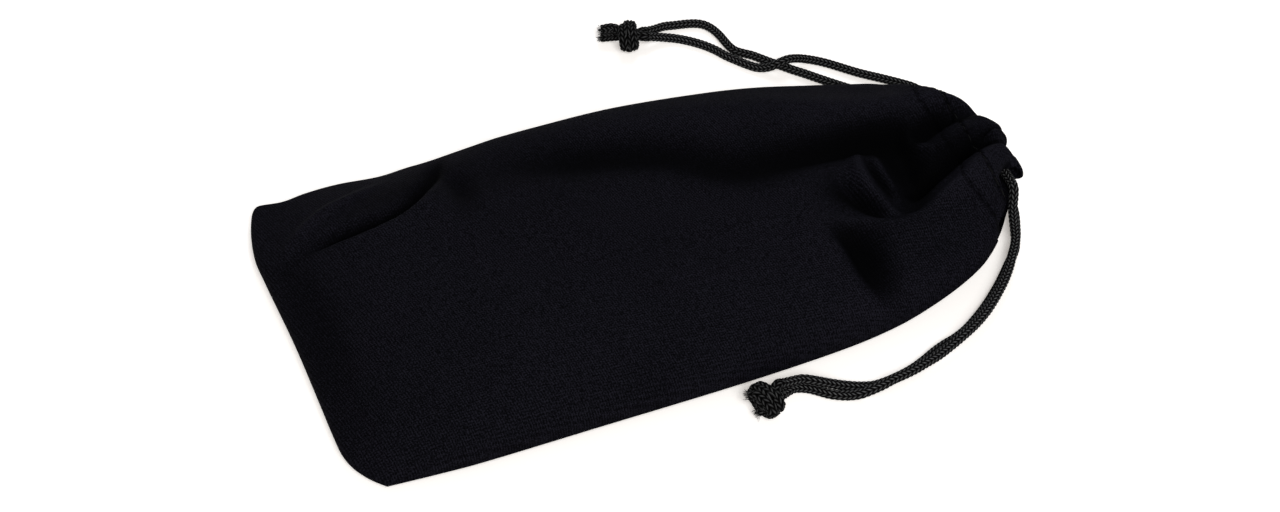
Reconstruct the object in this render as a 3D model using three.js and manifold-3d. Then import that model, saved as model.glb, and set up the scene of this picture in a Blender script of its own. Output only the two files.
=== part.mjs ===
// A soft microfibre sunglasses pouch that lies on a table, drawn in at its mouth by two cords.
// Millimetres. +X points out of the mouth, +Y to the far side, +Z up, origin under the middle.
import * as THREE from "three";
import { mergeVertices } from "three/addons/utils/BufferGeometryUtils.js";
import Module from "manifold-3d";

const wasm = await Module();
wasm.setup();

// Driving dimensions
const LENGTH = 178.8; // closed end to the front of the mouth
const WIDTH = 91.9; // across the widest part
const CLOTH = 0.8; // one layer of brushed microfibre
const CROWN = 13; // rise of the front panel above its side seams
const MOUTH_CROWN = 6.2; // the same at the gathered mouth
const SEAM_GAP = 0.4; // slit between the two panels along their seam
const PIECE_GAP = 0.3; // clearance between two pieces that touch on the real pouch
const HEM_LENGTH = 14; // from the lower stitch row to the mouth
const ROW_SPACING = 3.4; // from the lower stitch row to the upper one
const CORD = 2.1; // diameter of the braided cord
const CORD_ROOM = 0.55; // clearance round a cord in its channel
const CORD_SPACING = 3.5; // between the two cords that share a channel
const CORD_LEAD = 2; // how much further out a cord runs in the back hem
const FRONT_CORD_Z = 12.9; // height of the cords in the front hem
const BACK_CORD_Z = 3.6; // height of the cords in the back hem
const PULL = 6; // how far each drawstring can still be pulled
const OVERLOCK = 1.6; // thickness of the overlocked seam allowance
const THREAD = 0.4; // thickness of the sewing thread
const KNOT_SIZE = [3.05, 4.3, 3.4]; // half extents of a knot
const KNOT_FACETS = 2;
const FRONT_GRID = [44, 30]; // steps along and across the front panel
const BACK_GRID = [26, 18]; // the same for the back panel

const MOUTH_X = LENGTH / 2;
const BOTTOM_X = -LENGTH / 2;
const EDGE_Y = WIDTH / 2;
const HEM_WALL = CLOTH;
const CHANNEL = CORD + 2 * CORD_ROOM;
const FRONT_FLOOR = FRONT_CORD_Z - CHANNEL / 2 - HEM_WALL;
const BACK_ROOF = BACK_CORD_Z + CHANNEL / 2 + HEM_WALL;
const JOINT_X = MOUTH_X - HEM_LENGTH;
const HEM_X = JOINT_X + THREAD + 2 * PIECE_GAP;
const NEAR_CORD_X = MOUTH_X - 5.2; // near drawstring in the front hem
const FAR_CORD_X = NEAR_CORD_X - CORD_SPACING;

// Side seams seen from above: [x, inset from the widest line, height of the seam].
// The first rows keep their distance to the closed end, the others to the mouth.
const fromBottom = (d, inset, z) => [BOTTOM_X + d, inset, z];
const fromMouth = (d, inset, z) => [MOUTH_X - d, inset, z];
const NEAR_SEAM = [
  fromBottom(14.6, 0.7, 1.8),
  fromBottom(25, 0.05, 2.5),
  fromBottom(35, 0.05, 2.6),
  fromBottom(62, 1.4, 2.8),
  fromMouth(88.4, 2.9, 2.9),
  fromMouth(69, 4.4, 2.9),
  fromMouth(54, 6.05, 3),
  fromMouth(43.4, 7.95, 3.4),
  fromMouth(35.4, 9.95, 4.4),
  fromMouth(27, 12.7, 5.8),
  fromMouth(20.8, 15.4, 7.2),
  fromMouth(17.1, 18.1, 7.7),
  fromMouth(13.6, 21.5, 8),
  fromMouth(10.4, 25.3, 8),
  fromMouth(7.9, 29, 8),
  fromMouth(5.4, 32.8, 8),
  fromMouth(2.6, 36.3, 8),
];
const FAR_SEAM = [
  fromBottom(5.2, 1.4, 2.8),
  fromBottom(11, 2, 2.9),
  fromBottom(17, 1.6, 3),
  fromBottom(25, 1, 3.1),
  fromBottom(35, 1, 3.3),
  fromBottom(50, 1.1, 3.4),
  fromBottom(70, 0.5, 3.6),
  fromMouth(89, 0, 3.8),
  fromMouth(77, 0.3, 3.8),
  fromMouth(64, 1.6, 4),
  fromMouth(49, 3.7, 4.2),
  fromMouth(37.5, 6.6, 4.8),
  fromMouth(27.5, 9.8, 5.8),
  fromMouth(20.5, 13, 6.9),
  fromMouth(13.6, 18.9, 7.8),
  fromMouth(10.4, 24.4, 8),
  fromMouth(7.4, 28.9, 8),
  fromMouth(4.9, 31.9, 8),
  fromMouth(2.6, 34.4, 8),
];
// The closed end seen from above, near corner to far corner: [distance past the end line, y].
const BOTTOM_EDGE = [
  [14.6, -EDGE_Y + 0.7],
  [11.6, -EDGE_Y + 3.8],
  [9, -EDGE_Y + 7.6],
  [7.5, -EDGE_Y + 11.6],
  [6.6, -EDGE_Y + 18],
  [5.9, -EDGE_Y + 25],
  [3.8, -1],
  [0.9, EDGE_Y - 26.4],
  [0, EDGE_Y - 18.9],
  [0.3, EDGE_Y - 12.8],
  [1.2, EDGE_Y - 7.2],
  [2.2, EDGE_Y - 3.4],
  [3.3, EDGE_Y - 1.9],
  [5.2, EDGE_Y - 1.4],
];

// Smooth curve through points given in rising x; returns the value of one column at x.
function profile(points, column) {
  const tangent = points.map((p, i) => {
    const a = points[Math.max(i - 1, 0)];
    const b = points[Math.min(i + 1, points.length - 1)];
    return (b[column] - a[column]) / (b[0] - a[0]);
  });
  return (x) => {
    let i = 0;
    while (i < points.length - 2 && x > points[i + 1][0]) i += 1;
    const [a, b] = [points[i], points[i + 1]];
    const step = b[0] - a[0];
    const t = THREE.MathUtils.clamp((x - a[0]) / step, 0, 1);
    const [t2, t3] = [t * t, t * t * t];
    return (
      (2 * t3 - 3 * t2 + 1) * a[column] +
      (t3 - 2 * t2 + t) * step * tangent[i] +
      (3 * t2 - 2 * t3) * b[column] +
      (t3 - t2) * step * tangent[i + 1]
    );
  };
}

const nearInset = profile(NEAR_SEAM, 1);
const farInset = profile(FAR_SEAM, 1);
const nearHeight = profile(NEAR_SEAM, 2);
const farHeight = profile(FAR_SEAM, 2);
const nearY = (x) => -EDGE_Y + nearInset(x);
const farY = (x) => EDGE_Y - farInset(x);

const smooth = (t) => THREE.MathUtils.smoothstep(t, 0, 1);
const mix = THREE.MathUtils.lerp;

// Where a point lies across the pouch: -1 on the near seam, 1 on the far one.
const across = (x, y) =>
  THREE.MathUtils.clamp((2 * y - nearY(x) - farY(x)) / (farY(x) - nearY(x)), -1, 1);

// The folds of the front: ridges rise and valleys sink along a line of [x, y, height].
const fold = (width, points) => ({ width, points });
const along = (d, y, h) => [MOUTH_X - d, y, h];
const FOLDS = [
  fold(4.4, [
    along(-2, -4.6, 3),
    along(10, -5.6, 3.8),
    along(18, -8, 4.6),
    along(27, -13.4, 3.6),
    along(38, -17.5, 1),
  ]),
  fold(2.6, [along(-2, -0.6, -3.4), along(10, -1.2, -4.2), along(18, -2.6, -4), along(26, -6.5, -2)]),
  fold(3.4, [along(-2, 3.8, 2.4), along(8, 3, 2.2), along(15, 2.4, 2), along(19, 2.6, 0)]),
  fold(3, [along(-2, 8.2, -1.8), along(7, 8.6, -3.8), along(14, 9.2, -3.4), along(20, 9.6, -1.4)]),
  fold(5.5, [
    along(-2, 12.5, 0.4),
    along(8, 13.6, 1.4),
    along(18, 15, 2.4),
    along(30, 17, 2),
    along(46, 19, 0.6),
  ]),
  fold(6.5, [along(17, 1.5, -2.6), along(23, 1.5, -5.6), along(29, 1.5, -4)]),
  fold(6.5, [along(24, 8, -4.2), along(36, 9, -3), along(52, 9.4, -1.6), along(80, 9, -0.3)]),
  fold(4.6, [along(36, -14, 2), along(39, -6, 1.8), along(38.5, 2, 1.6)]),
  fold(6, [along(45, -8, -1.6), along(49, -20, -1.4), along(49, -30, -0.6)]),
  fold(2.8, [
    [BOTTOM_X + 11, 22, -0.6],
    [BOTTOM_X + 24, 24, -3],
    [BOTTOM_X + 35, 27, -3.2],
    [BOTTOM_X + 41, 31.5, -3],
    [BOTTOM_X + 46, 38, -1.6],
  ]),
  fold(5, [
    [BOTTOM_X + 10, 28, 1],
    [BOTTOM_X + 22, 31, 2.8],
    [BOTTOM_X + 32, 34, 2.4],
  ]),
  fold(7.5, [
    [BOTTOM_X + 5, 41, -1],
    [BOTTOM_X + 14, 41.5, -1.6],
    [BOTTOM_X + 28, 42, -1.8],
    [BOTTOM_X + 39, 43.5, -1.8],
    [BOTTOM_X + 50, 45, -1],
    [BOTTOM_X + 66, 46, -0.9],
  ]),
  fold(4, [
    [BOTTOM_X + 15, -30, -0.9],
    [BOTTOM_X + 14, -10, -1.2],
    [BOTTOM_X + 11, 10, -1.2],
    [BOTTOM_X + 9, 22, -0.8],
  ]),
];

function foldHeight({ width, points }, x, y) {
  let nearest = Infinity;
  let height = 0;
  for (let i = 0; i + 1 < points.length; i += 1) {
    const [a, b] = [points[i], points[i + 1]];
    const [dx, dy] = [b[0] - a[0], b[1] - a[1]];
    const t = THREE.MathUtils.clamp(((x - a[0]) * dx + (y - a[1]) * dy) / (dx * dx + dy * dy), 0, 1);
    const d = Math.hypot(x - a[0] - t * dx, y - a[1] - t * dy);
    if (d < nearest) {
      nearest = d;
      height = mix(a[2], b[2], t);
    }
  }
  return height * Math.exp(-((nearest / width) ** 2));
}

const LIFT_START = 62; // distance from the mouth where the neck starts to rise
const neck = (x) => smooth((x - (MOUTH_X - LIFT_START)) / (LIFT_START - HEM_LENGTH / 2));
// The front panel's edge stands on the back panel's edge, and lifts off it where the side slit opens.
const SLIT_START = 20.5;
const slit = (x) => smooth((x - (MOUTH_X - SLIT_START)) / (SLIT_START - HEM_LENGTH * 0.8));
const seamHeight = (x, v) => mix(nearHeight(x), farHeight(x), (v + 1) / 2);
const frontEdgeHeight = (x, v) =>
  mix(seamHeight(x, v) + CLOTH / 2 + SEAM_GAP, FRONT_FLOOR + CLOTH / 2, slit(x));
const cap = (v, power = 2.6) => Math.sqrt(Math.max(1 - Math.abs(v) ** power, 0));
// Near the closed end the far side lies flat as far as a pinch in the cloth.
const PINCH = 46; // distance of the pinch from the closed end
const flatRim = (x, v) => smooth((v - 0.35) / 0.3) * smooth((BOTTOM_X + PINCH - x) / 9 + 0.5);

// Height of the front cloth's middle surface over a point; inland is its distance from the closed end.
function frontHeight(x, y, v, inland) {
  const end = Math.sqrt(1 - (1 - Math.min(inland / 52, 1)) ** 2.1);
  const crown = mix(CROWN, MOUTH_CROWN, neck(x));
  const folds = FOLDS.reduce((sum, f) => sum + foldHeight(f, x, y), 0);
  const boxy = smooth((x - JOINT_X) / ROW_SPACING);
  const round = cap(v, mix(2.6, v < 0 ? 5 : 3.6, boxy));
  const shape = mix(round, round ** 2, flatRim(x, v));
  const fade = Math.min(shape * 1.25, 1) * Math.min(inland / 8, 1);
  return frontEdgeHeight(x, v) + crown * shape * end + folds * fade;
}

// Height of the back cloth's middle surface: flat on the table, rising to the side seams.
const FLAT_SHARE = 0.7; // of the width that lies on the table
function backHeight(x, v, inland) {
  const side = smooth((Math.abs(v) - FLAT_SHARE) / (1 - FLAT_SHARE)) * 0.5 +
    0.5 * (Math.max(Math.abs(v) - FLAT_SHARE, 0) / (1 - FLAT_SHARE)) ** 2;
  const end = (1 - Math.min(inland / 10, 1)) ** 2;
  const rise = seamHeight(x, v) - CLOTH / 2;
  return CLOTH / 2 + rise * Math.max(side, end);
}

// A grid of points between the closed end, the side seams and the lower stitch row.
const bottomCurve = new THREE.CatmullRomCurve3(
  BOTTOM_EDGE.map(([d, y]) => new THREE.Vector3(BOTTOM_X + d, y, 0)),
  false,
  "centripetal",
);

function planPoint(u, v, grow) {
  const t = (v + 1) / 2;
  const bottom = bottomCurve.getPointAt(t);
  const nearX = mix(NEAR_SEAM[0][0], JOINT_X, u);
  const farX = mix(FAR_SEAM[0][0], JOINT_X, u);
  const [nearPoint, farPoint] = [
    [nearX, nearY(nearX)],
    [farX, farY(farX)],
  ];
  const [nearCorner, farCorner] = [bottomCurve.getPointAt(0), bottomCurve.getPointAt(1)];
  const jointY = mix(nearY(JOINT_X), farY(JOINT_X), t);
  const ruled = (i, end, a, b, c, d) =>
    mix(nearPoint[i], farPoint[i], t) +
    mix(bottom.getComponent(i), end, u) -
    mix(mix(a, b, t), mix(c, d, t), u);
  const x = ruled(0, JOINT_X, nearCorner.x, farCorner.x, JOINT_X, JOINT_X);
  const y = ruled(1, jointY, nearCorner.y, farCorner.y, nearY(JOINT_X), farY(JOINT_X));
  const side = Math.sign(v) * Math.abs(v) ** 8 * grow;
  return [x - grow * (1 - u) ** 12, y + side];
}

const BODY_LENGTH = JOINT_X - BOTTOM_X;

// Middle surface of a panel as rows of Vector3.
function panelRows(columns, rows, grow, height) {
  const grid = [];
  for (let i = 0; i <= columns; i += 1) {
    const s = i / columns;
    const dense = s < 0.12 ? s * (1 - s / 0.24) : s - (0.06 * (1 - s)) / 0.88; // close steps at the end
    const u = mix(mix(s, s * (2 - s), 0.35), dense, 0.25);
    const row = [];
    for (let j = 0; j <= rows; j += 1) {
      const v = Math.sin((Math.PI / 2) * ((2 * j) / rows - 1));
      const [x, y] = planPoint(u, v, grow);
      row.push(new THREE.Vector3(x, y, height(x, y, v, u * BODY_LENGTH)));
    }
    grid.push(row);
  }
  return grid;
}

// Normals of a grid by differences of its neighbours.
function gridNormals(grid) {
  return grid.map((row, i) =>
    row.map((_, j) => {
      const [i0, i1] = [Math.max(i - 1, 0), Math.min(i + 1, grid.length - 1)];
      const [j0, j1] = [Math.max(j - 1, 0), Math.min(j + 1, row.length - 1)];
      const alongX = grid[i1][j].clone().sub(grid[i0][j]);
      const alongY = grid[i][j1].clone().sub(grid[i][j0]);
      return alongX.cross(alongY).normalize();
    }),
  );
}

// A closed solid between two grids of the same size, the first above the second.
function slab(top, bottom) {
  const [n, m] = [top.length, top[0].length];
  const points = [...top.flat(), ...bottom.flat()];
  const faces = [];
  const quad = (a, b, c, d) => faces.push(a, b, c, a, c, d);
  const at = (layer, i, j) => layer * n * m + i * m + j;
  for (let i = 0; i + 1 < n; i += 1) {
    for (let j = 0; j + 1 < m; j += 1) {
      quad(at(0, i, j), at(0, i + 1, j), at(0, i + 1, j + 1), at(0, i, j + 1));
      quad(at(1, i, j), at(1, i, j + 1), at(1, i + 1, j + 1), at(1, i + 1, j));
    }
  }
  for (let i = 0; i + 1 < n; i += 1) {
    quad(at(0, i + 1, 0), at(0, i, 0), at(1, i, 0), at(1, i + 1, 0));
    quad(at(0, i, m - 1), at(0, i + 1, m - 1), at(1, i + 1, m - 1), at(1, i, m - 1));
  }
  for (let j = 0; j + 1 < m; j += 1) {
    quad(at(0, 0, j), at(0, 0, j + 1), at(1, 0, j + 1), at(1, 0, j));
    quad(at(0, n - 1, j + 1), at(0, n - 1, j), at(1, n - 1, j), at(1, n - 1, j + 1));
  }
  const geometry = new THREE.BufferGeometry().setFromPoints(points);
  geometry.setIndex(faces);
  geometry.computeVertexNormals();
  return geometry;
}

// Cloth of one thickness round a middle surface.
function clothSheet(grid) {
  const normals = gridNormals(grid);
  const shifted = (amount) =>
    grid.map((row, i) => row.map((p, j) => p.clone().addScaledVector(normals[i][j], amount)));
  return slab(shifted(CLOTH / 2), shifted(-CLOTH / 2));
}

// Booleans
function toSolid(geometry) {
  const bare = new THREE.BufferGeometry();
  bare.setAttribute("position", geometry.getAttribute("position"));
  bare.setIndex(geometry.index);
  const merged = mergeVertices(bare, 1e-4);
  return new wasm.Manifold(
    new wasm.Mesh({
      numProp: 3,
      vertProperties: merged.attributes.position.array,
      triVerts: new Uint32Array(merged.index.array),
    }),
  );
}

function toGeometry(solid) {
  const largest = solid.decompose().sort((a, b) => b.volume() - a.volume())[0];
  const mesh = largest.getMesh();
  const geometry = new THREE.BufferGeometry();
  geometry.setAttribute("position", new THREE.BufferAttribute(mesh.vertProperties, 3));
  geometry.setIndex(new THREE.BufferAttribute(mesh.triVerts, 1));
  geometry.computeVertexNormals();
  return geometry;
}

function block(low, high) {
  const size = high.map((h, i) => h - low[i]);
  const geometry = new THREE.BoxGeometry(...size);
  geometry.translate(...low.map((l, i) => l + size[i] / 2));
  return toSolid(geometry);
}

// Plan of the hems: lines of constant v from the lower stitch row to the mouth.
const HEM_STATIONS = 26;
const ROW_SHARE = ROW_SPACING / HEM_LENGTH;
const HEM_STEPS = [0, 0.12, ROW_SHARE, ROW_SHARE + 0.05, 0.45, 0.6, 0.75, 0.88, 0.96, 1];
const hemV = (j) => Math.sin((Math.PI / 2) * ((2 * j) / HEM_STATIONS - 1)) * 0.985;

// The front lip bows out in the middle of the mouth and falls back at both ends.
const FRONT_LIP_SHORT = 0.9;
function frontLipX(v) {
  const tip = 1.2 * Math.exp(-(((v + 0.7) / 0.13) ** 2));
  return MOUTH_X - FRONT_LIP_SHORT - (v < 0 ? 1.6 * v ** 2 : 6.5 * v ** 3) + tip;
}

function hemGrid(lipX, height) {
  return HEM_STEPS.map((w, k) => {
    const row = [];
    for (let j = 0; j <= HEM_STATIONS; j += 1) {
      const v = hemV(j);
      const x = mix(HEM_X, lipX(v), w);
      const y = mix(nearY(x), farY(x), (v + 1) / 2);
      row.push(new THREE.Vector3(x, y, height(x, y, v, w, k)));
    }
    return row;
  });
}

const LIP_FALL = 0.76; // share of the lobes' height that the rounded lip loses
const LIP_START = 0.55; // where along the hem it starts to fall
const lipFall = (w) => LIP_FALL * Math.max((w - LIP_START) / (1 - LIP_START), 0) ** 2;
const frontTop = (x, y, v) => frontHeight(x, y, v, BODY_LENGTH) + CLOTH / 2;
const frontHemTop = (x, y, v) => {
  const top = frontTop(x, y, v);
  return top - (top - FRONT_FLOOR) * lipFall((x - HEM_X) / (frontLipX(v) - HEM_X));
};
const ROW_STEP = 2; // index in HEM_STEPS of the upper stitch row
const LIP_RISE = [0, 0, 0, 0, 0, 0, 0, 0, 0.3, 1];

// A cutter as long as the channel. Past the share of the hem that roofs it, it opens upward.
function channelCutter(lowX, highX, floor, roof, roofedNear, roofedFar, endV = 1.4) {
  const columns = 4;
  const stations = [-1.4, -roofedNear - 0.01];
  const rows = 40;
  for (let j = 0; j <= rows; j += 1) stations.push(mix(-roofedNear, Math.min(roofedFar, endV), j / rows));
  if (endV > roofedFar) stations.push(roofedFar + 0.01, endV);
  const layer = (height) => {
    const grid = [];
    for (let i = 0; i <= columns; i += 1) {
      const x = mix(lowX, highX, i / columns);
      grid.push(stations.map((v) => {
        const y = mix(nearY(x), farY(x), (v + 1) / 2);
        return new THREE.Vector3(x, y, height(x, y, v));
      }));
    }
    return grid;
  };
  const open = floor + 30;
  const above = (x, y, v) => (v < -roofedNear || v > roofedFar ? open : roof(x, y, v));
  return toSolid(slab(layer(above), layer(() => floor)));
}

// Share of the front hem, from the middle to each end, that still stands above its cords.
const ROOFED_NEAR = 0.9;
const ROOFED_FAR = 0.72;
const SIDE_ROOM = CORD / 2 + CORD_ROOM;
const NOTCH_ROOM = CORD / 2 + 0.5;

function frontHemGeometry() {
  const roofed = (v, w) => v > -ROOFED_NEAR - 0.03 && v < ROOFED_FAR + 0.03 && w > 0.3 && w < 0.9;
  const overCords = FRONT_FLOOR + 2 * HEM_WALL + CHANNEL;
  const top = hemGrid(frontLipX, (x, y, v, w, k) => {
    const least = roofed(v, w) ? overCords : FRONT_FLOOR + CLOTH + LIP_RISE[k];
    return Math.max(frontHemTop(x, y, v), least);
  });
  const bottom = hemGrid(frontLipX, (x, y, v, w, k) =>
    k <= ROW_STEP ? Math.max(frontTop(x, y, v) - 2 * CLOTH, FRONT_FLOOR) : FRONT_FLOOR + LIP_RISE[k]);
  const body = toSolid(slab(top, bottom));
  const channelFloor = FRONT_FLOOR + HEM_WALL;
  const roof = (x, y, v) => Math.max(frontHemTop(x, y, v) - HEM_WALL, channelFloor + CHANNEL);
  const [low, middle, high] = [FAR_CORD_X - SIDE_ROOM, FAR_CORD_X + SIDE_ROOM, NEAR_CORD_X + SIDE_ROOM];
  const farChannel = channelCutter(low, middle + 0.01, channelFloor, roof, ROOFED_NEAR, ROOFED_FAR);
  const nearChannel = channelCutter(middle, high, channelFloor, roof, ROOFED_NEAR, ROOFED_FAR, NEAR_END_V);
  const notchLow = FRONT_FLOOR - CLOTH;
  const farNotch = block(
    [NEAR_CORD_X - NOTCH_ROOM, BIGHT_NEAR_Y - BEND - PULL, notchLow],
    [NEAR_CORD_X + NOTCH_ROOM + 0.7, BIGHT_NEAR_Y + NOTCH_ROOM, FRONT_CORD_Z],
  );
  const nearNotch = block(
    [FAR_CORD_X - NOTCH_ROOM, BIGHT_FAR_Y - NOTCH_ROOM, notchLow],
    [FAR_CORD_X + NOTCH_ROOM + 0.7, BIGHT_FAR_Y + BEND + PULL, FRONT_CORD_Z],
  );
  return toGeometry(body.subtract(farChannel).subtract(nearChannel).subtract(farNotch).subtract(nearNotch));
}

// Outermost point of each cord's bend at the side opposite its free strands, at rest.
const BIGHT_NEAR_Y = 9.2; // the near drawstring bends at the far side
const BIGHT_FAR_Y = -11.2; // the far drawstring bends at the near side
const BEND_RADIUS = Math.hypot((FRONT_CORD_Z - BACK_CORD_Z) / 2, CORD_LEAD / 2);
const BEND = BEND_RADIUS + CORD + 0.6; // from a bend's outermost point to clear of its straight legs
const NEAR_END_V = 0.68; // where the near drawstring's channel ends

function backHemGeometry() {
  const lip = (v) => MOUTH_X - 0.4 - 1.2 * Math.abs(v) ** 4;
  const under = (x, v) => backHeight(x, v, BODY_LENGTH) - CLOTH / 2;
  const top = hemGrid(lip, (x, y, v, w, k) =>
    k <= ROW_STEP ? under(x, v) + 2 * CLOTH : Math.max(BACK_ROOF - LIP_RISE[k], under(x, v) + CLOTH));
  const bottom = hemGrid(lip, (x, y, v, w, k) => under(x, v) + LIP_RISE[k]);
  const body = toSolid(slab(top, bottom));
  const floor = BACK_ROOF - HEM_WALL - CHANNEL;
  const cutter = channelCutter(
    FAR_CORD_X + CORD_LEAD - SIDE_ROOM,
    NEAR_CORD_X + CORD_LEAD + SIDE_ROOM,
    floor,
    () => floor + CHANNEL,
    1.2,
    1.2,
  );
  const farNotch = block(
    [NEAR_CORD_X + CORD_LEAD - NOTCH_ROOM - 0.5, BIGHT_NEAR_Y - BEND - PULL, BACK_CORD_Z],
    [NEAR_CORD_X + CORD_LEAD + NOTCH_ROOM, EDGE_Y, BACK_ROOF + 4],
  );
  const nearNotch = block(
    [FAR_CORD_X + CORD_LEAD - NOTCH_ROOM - 0.5, -EDGE_Y, BACK_CORD_Z],
    [FAR_CORD_X + CORD_LEAD + NOTCH_ROOM, BIGHT_FAR_Y + BEND + PULL, BACK_ROOF + 4],
  );
  return toGeometry(body.subtract(cutter).subtract(farNotch).subtract(nearNotch));
}

// Cords
function ngon(radius, sides) {
  const shape = new THREE.Shape();
  for (let i = 0; i < sides; i += 1) {
    const angle = (2 * Math.PI * i) / sides;
    const [x, y] = [radius * Math.cos(angle), radius * Math.sin(angle)];
    if (i) shape.lineTo(x, y);
    else shape.moveTo(x, y);
  }
  shape.closePath();
  return shape;
}

function tube(points, radius, sides, steps) {
  const path = new THREE.CatmullRomCurve3(
    points.map((p) => new THREE.Vector3(...p)),
    false,
    "centripetal",
  );
  return new THREE.ExtrudeGeometry(ngon(radius, sides), { steps, bevelEnabled: false, extrudePath: path });
}

const CORD_SIDES = 8;

// The cord in both channels: straight, round its bend, and straight back.
function runGeometry(x, exitFront, exitBack, bight) {
  const out = Math.sign(bight - exitFront);
  const [rise, lead] = [(FRONT_CORD_Z - BACK_CORD_Z) / 2, CORD_LEAD / 2];
  const radius = BEND_RADIUS;
  const start = bight - out * (radius + CORD / 2);
  const points = [
    [x, exitFront, FRONT_CORD_Z],
    [x, mix(exitFront, start, 0.35), FRONT_CORD_Z],
    [x, mix(exitFront, start, 0.7), FRONT_CORD_Z],
  ];
  const bendSteps = 8;
  for (let i = 0; i <= bendSteps; i += 1) {
    const angle = (Math.PI * i) / bendSteps;
    const side = Math.cos(angle);
    points.push([
      x + lead - lead * side,
      start + out * radius * Math.sin(angle),
      (FRONT_CORD_Z + BACK_CORD_Z) / 2 + rise * side,
    ]);
  }
  points.push(
    [x + CORD_LEAD, mix(start, exitBack, 0.3), BACK_CORD_Z],
    [x + CORD_LEAD, mix(start, exitBack, 0.65), BACK_CORD_Z],
    [x + CORD_LEAD, exitBack, BACK_CORD_Z],
  );
  return tube(points, CORD / 2, CORD_SIDES, 30);
}

// Free strands, as they lie on the table: centre lines from each exit to its knot.
const NEAR_FRONT_EXIT = -12.35;
const NEAR_BACK_EXIT = -10.4;
const FAR_FRONT_EXIT = 19.2;
const FAR_BACK_EXIT = 16.6;

const NEAR_STRAND_FRONT = [
  [NEAR_CORD_X, NEAR_FRONT_EXIT - PIECE_GAP, FRONT_CORD_Z],
  [84, -14.1, 12.4],
  [83.6, -15.3, 11.2],
  [83.3, -16.1, 9.6],
  [83.2, -16.8, 7.9],
  [83.2, -17.6, 6.3],
  [83.1, -18.7, 4.9],
  [82.7, -20.2, 4.1],
  [82.1, -21.9, 3.7],
  [80.9, -23.9, 3.5],
  [79.1, -26.4, 3.4],
  [76.9, -29.5, 3.4],
  [74.1, -32.8, 3.3],
  [70.5, -36.4, 3.3],
  [66.5, -39.9, 3.2],
  [62.2, -42.9, 3.2],
  [58.2, -45.1, 3.2],
  [54.2, -46.9, 2.8],
  [50.6, -48.5, 2.8],
  [47.3, -49.7, 3],
  [44.2, -50.8, 3.2],
  [41.2, -51.5, 3.2],
  [38.4, -52, 3.2],
  [35.5, -52.7, 3],
  [32.8, -53, 2.7],
  [30.4, -52.8, 2],
  [28.3, -52, 1.3],
  [26.2, -51.2, 1.2],
  [24.1, -50.1, 1.2],
  [22.3, -48.7, 1.2],
  [20.7, -47.5, 1.2],
  [18.9, -46.6, 1.5],
  [17, -46.2, 1.9],
  [15, -46.6, 2.4],
  [12.9, -47.6, 2.7],
];
const NEAR_STRAND_BACK = [
  [NEAR_CORD_X + CORD_LEAD, NEAR_BACK_EXIT - PIECE_GAP, BACK_CORD_Z],
  [86.1, -12.6, 3.2],
  [85.7, -14.5, 2.3],
  [85, -16.5, 1.6],
  [84.2, -18.5, 1.2],
  [82.9, -20.9, 1.2],
  [81.7, -23, 1.2],
  [80.1, -24.9, 1.2],
  [78.3, -26.8, 1.2],
  [74.4, -31, 1.2],
  [71.3, -34, 1.2],
  [67.9, -37, 1.2],
  [64.1, -39.9, 1.2],
  [60.3, -42.4, 1.2],
  [57.1, -43.9, 1.2],
  [54.3, -44.8, 1.2],
  [51.3, -46, 1.2],
  [47.9, -47.7, 1.2],
  [44.4, -49.2, 1.2],
  [40.4, -50.3, 1.2],
  [36.8, -50.9, 1.2],
  [34.3, -51, 1.2],
  [31.7, -50.5, 1.3],
  [29.2, -49.8, 1.6],
  [26.6, -48.9, 2],
  [24.7, -48.3, 2.5],
  [22.3, -47.6, 3.3],
  [20.6, -47, 3.7],
  [19, -46.7, 3.9],
  [17.2, -46.8, 4.2],
  [15, -47.3, 4.8],
  [13, -48.1, 5.1],
];
const FAR_STRAND_FRONT = [
  [FAR_CORD_X, FAR_FRONT_EXIT + PIECE_GAP, FRONT_CORD_Z],
  [80.8, 21.3, 12.4],
  [81, 22.9, 11],
  [81.3, 24.1, 9],
  [81.8, 25.5, 6.6],
  [82.4, 27.2, 4.4],
  [83, 29.6, 2.6],
  [83.3, 32.4, 1.5],
  [82.9, 35, 1.2],
  [81.6, 37.2, 1.2],
  [79.6, 39.1, 1.2],
  [75.2, 42.7, 1.2],
  [70.5, 46.4, 1.2],
  [66.1, 50.5, 1.2],
  [63.8, 52.6, 1.2],
  [61.4, 54.4, 1.2],
  [58.8, 55.3, 1.7],
  [56.6, 55.1, 2.6],
  [54.4, 54.7, 3.3],
  [52.3, 54.2, 3.5],
  [50.6, 54.2, 3],
  [49.1, 54.7, 2.1],
  [47.6, 55.5, 1.5],
  [46.1, 56.5, 1.2],
  [43.9, 58.6, 1.2],
  [42.4, 60.4, 1.2],
  [40.3, 63, 1.2],
  [38.4, 66, 1.2],
  [36.2, 68.7, 1.2],
  [33.1, 71.5, 1.2],
  [29.8, 73.7, 1.2],
  [25.7, 74.6, 2],
  [21.4, 74.4, 3.6],
];
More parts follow.
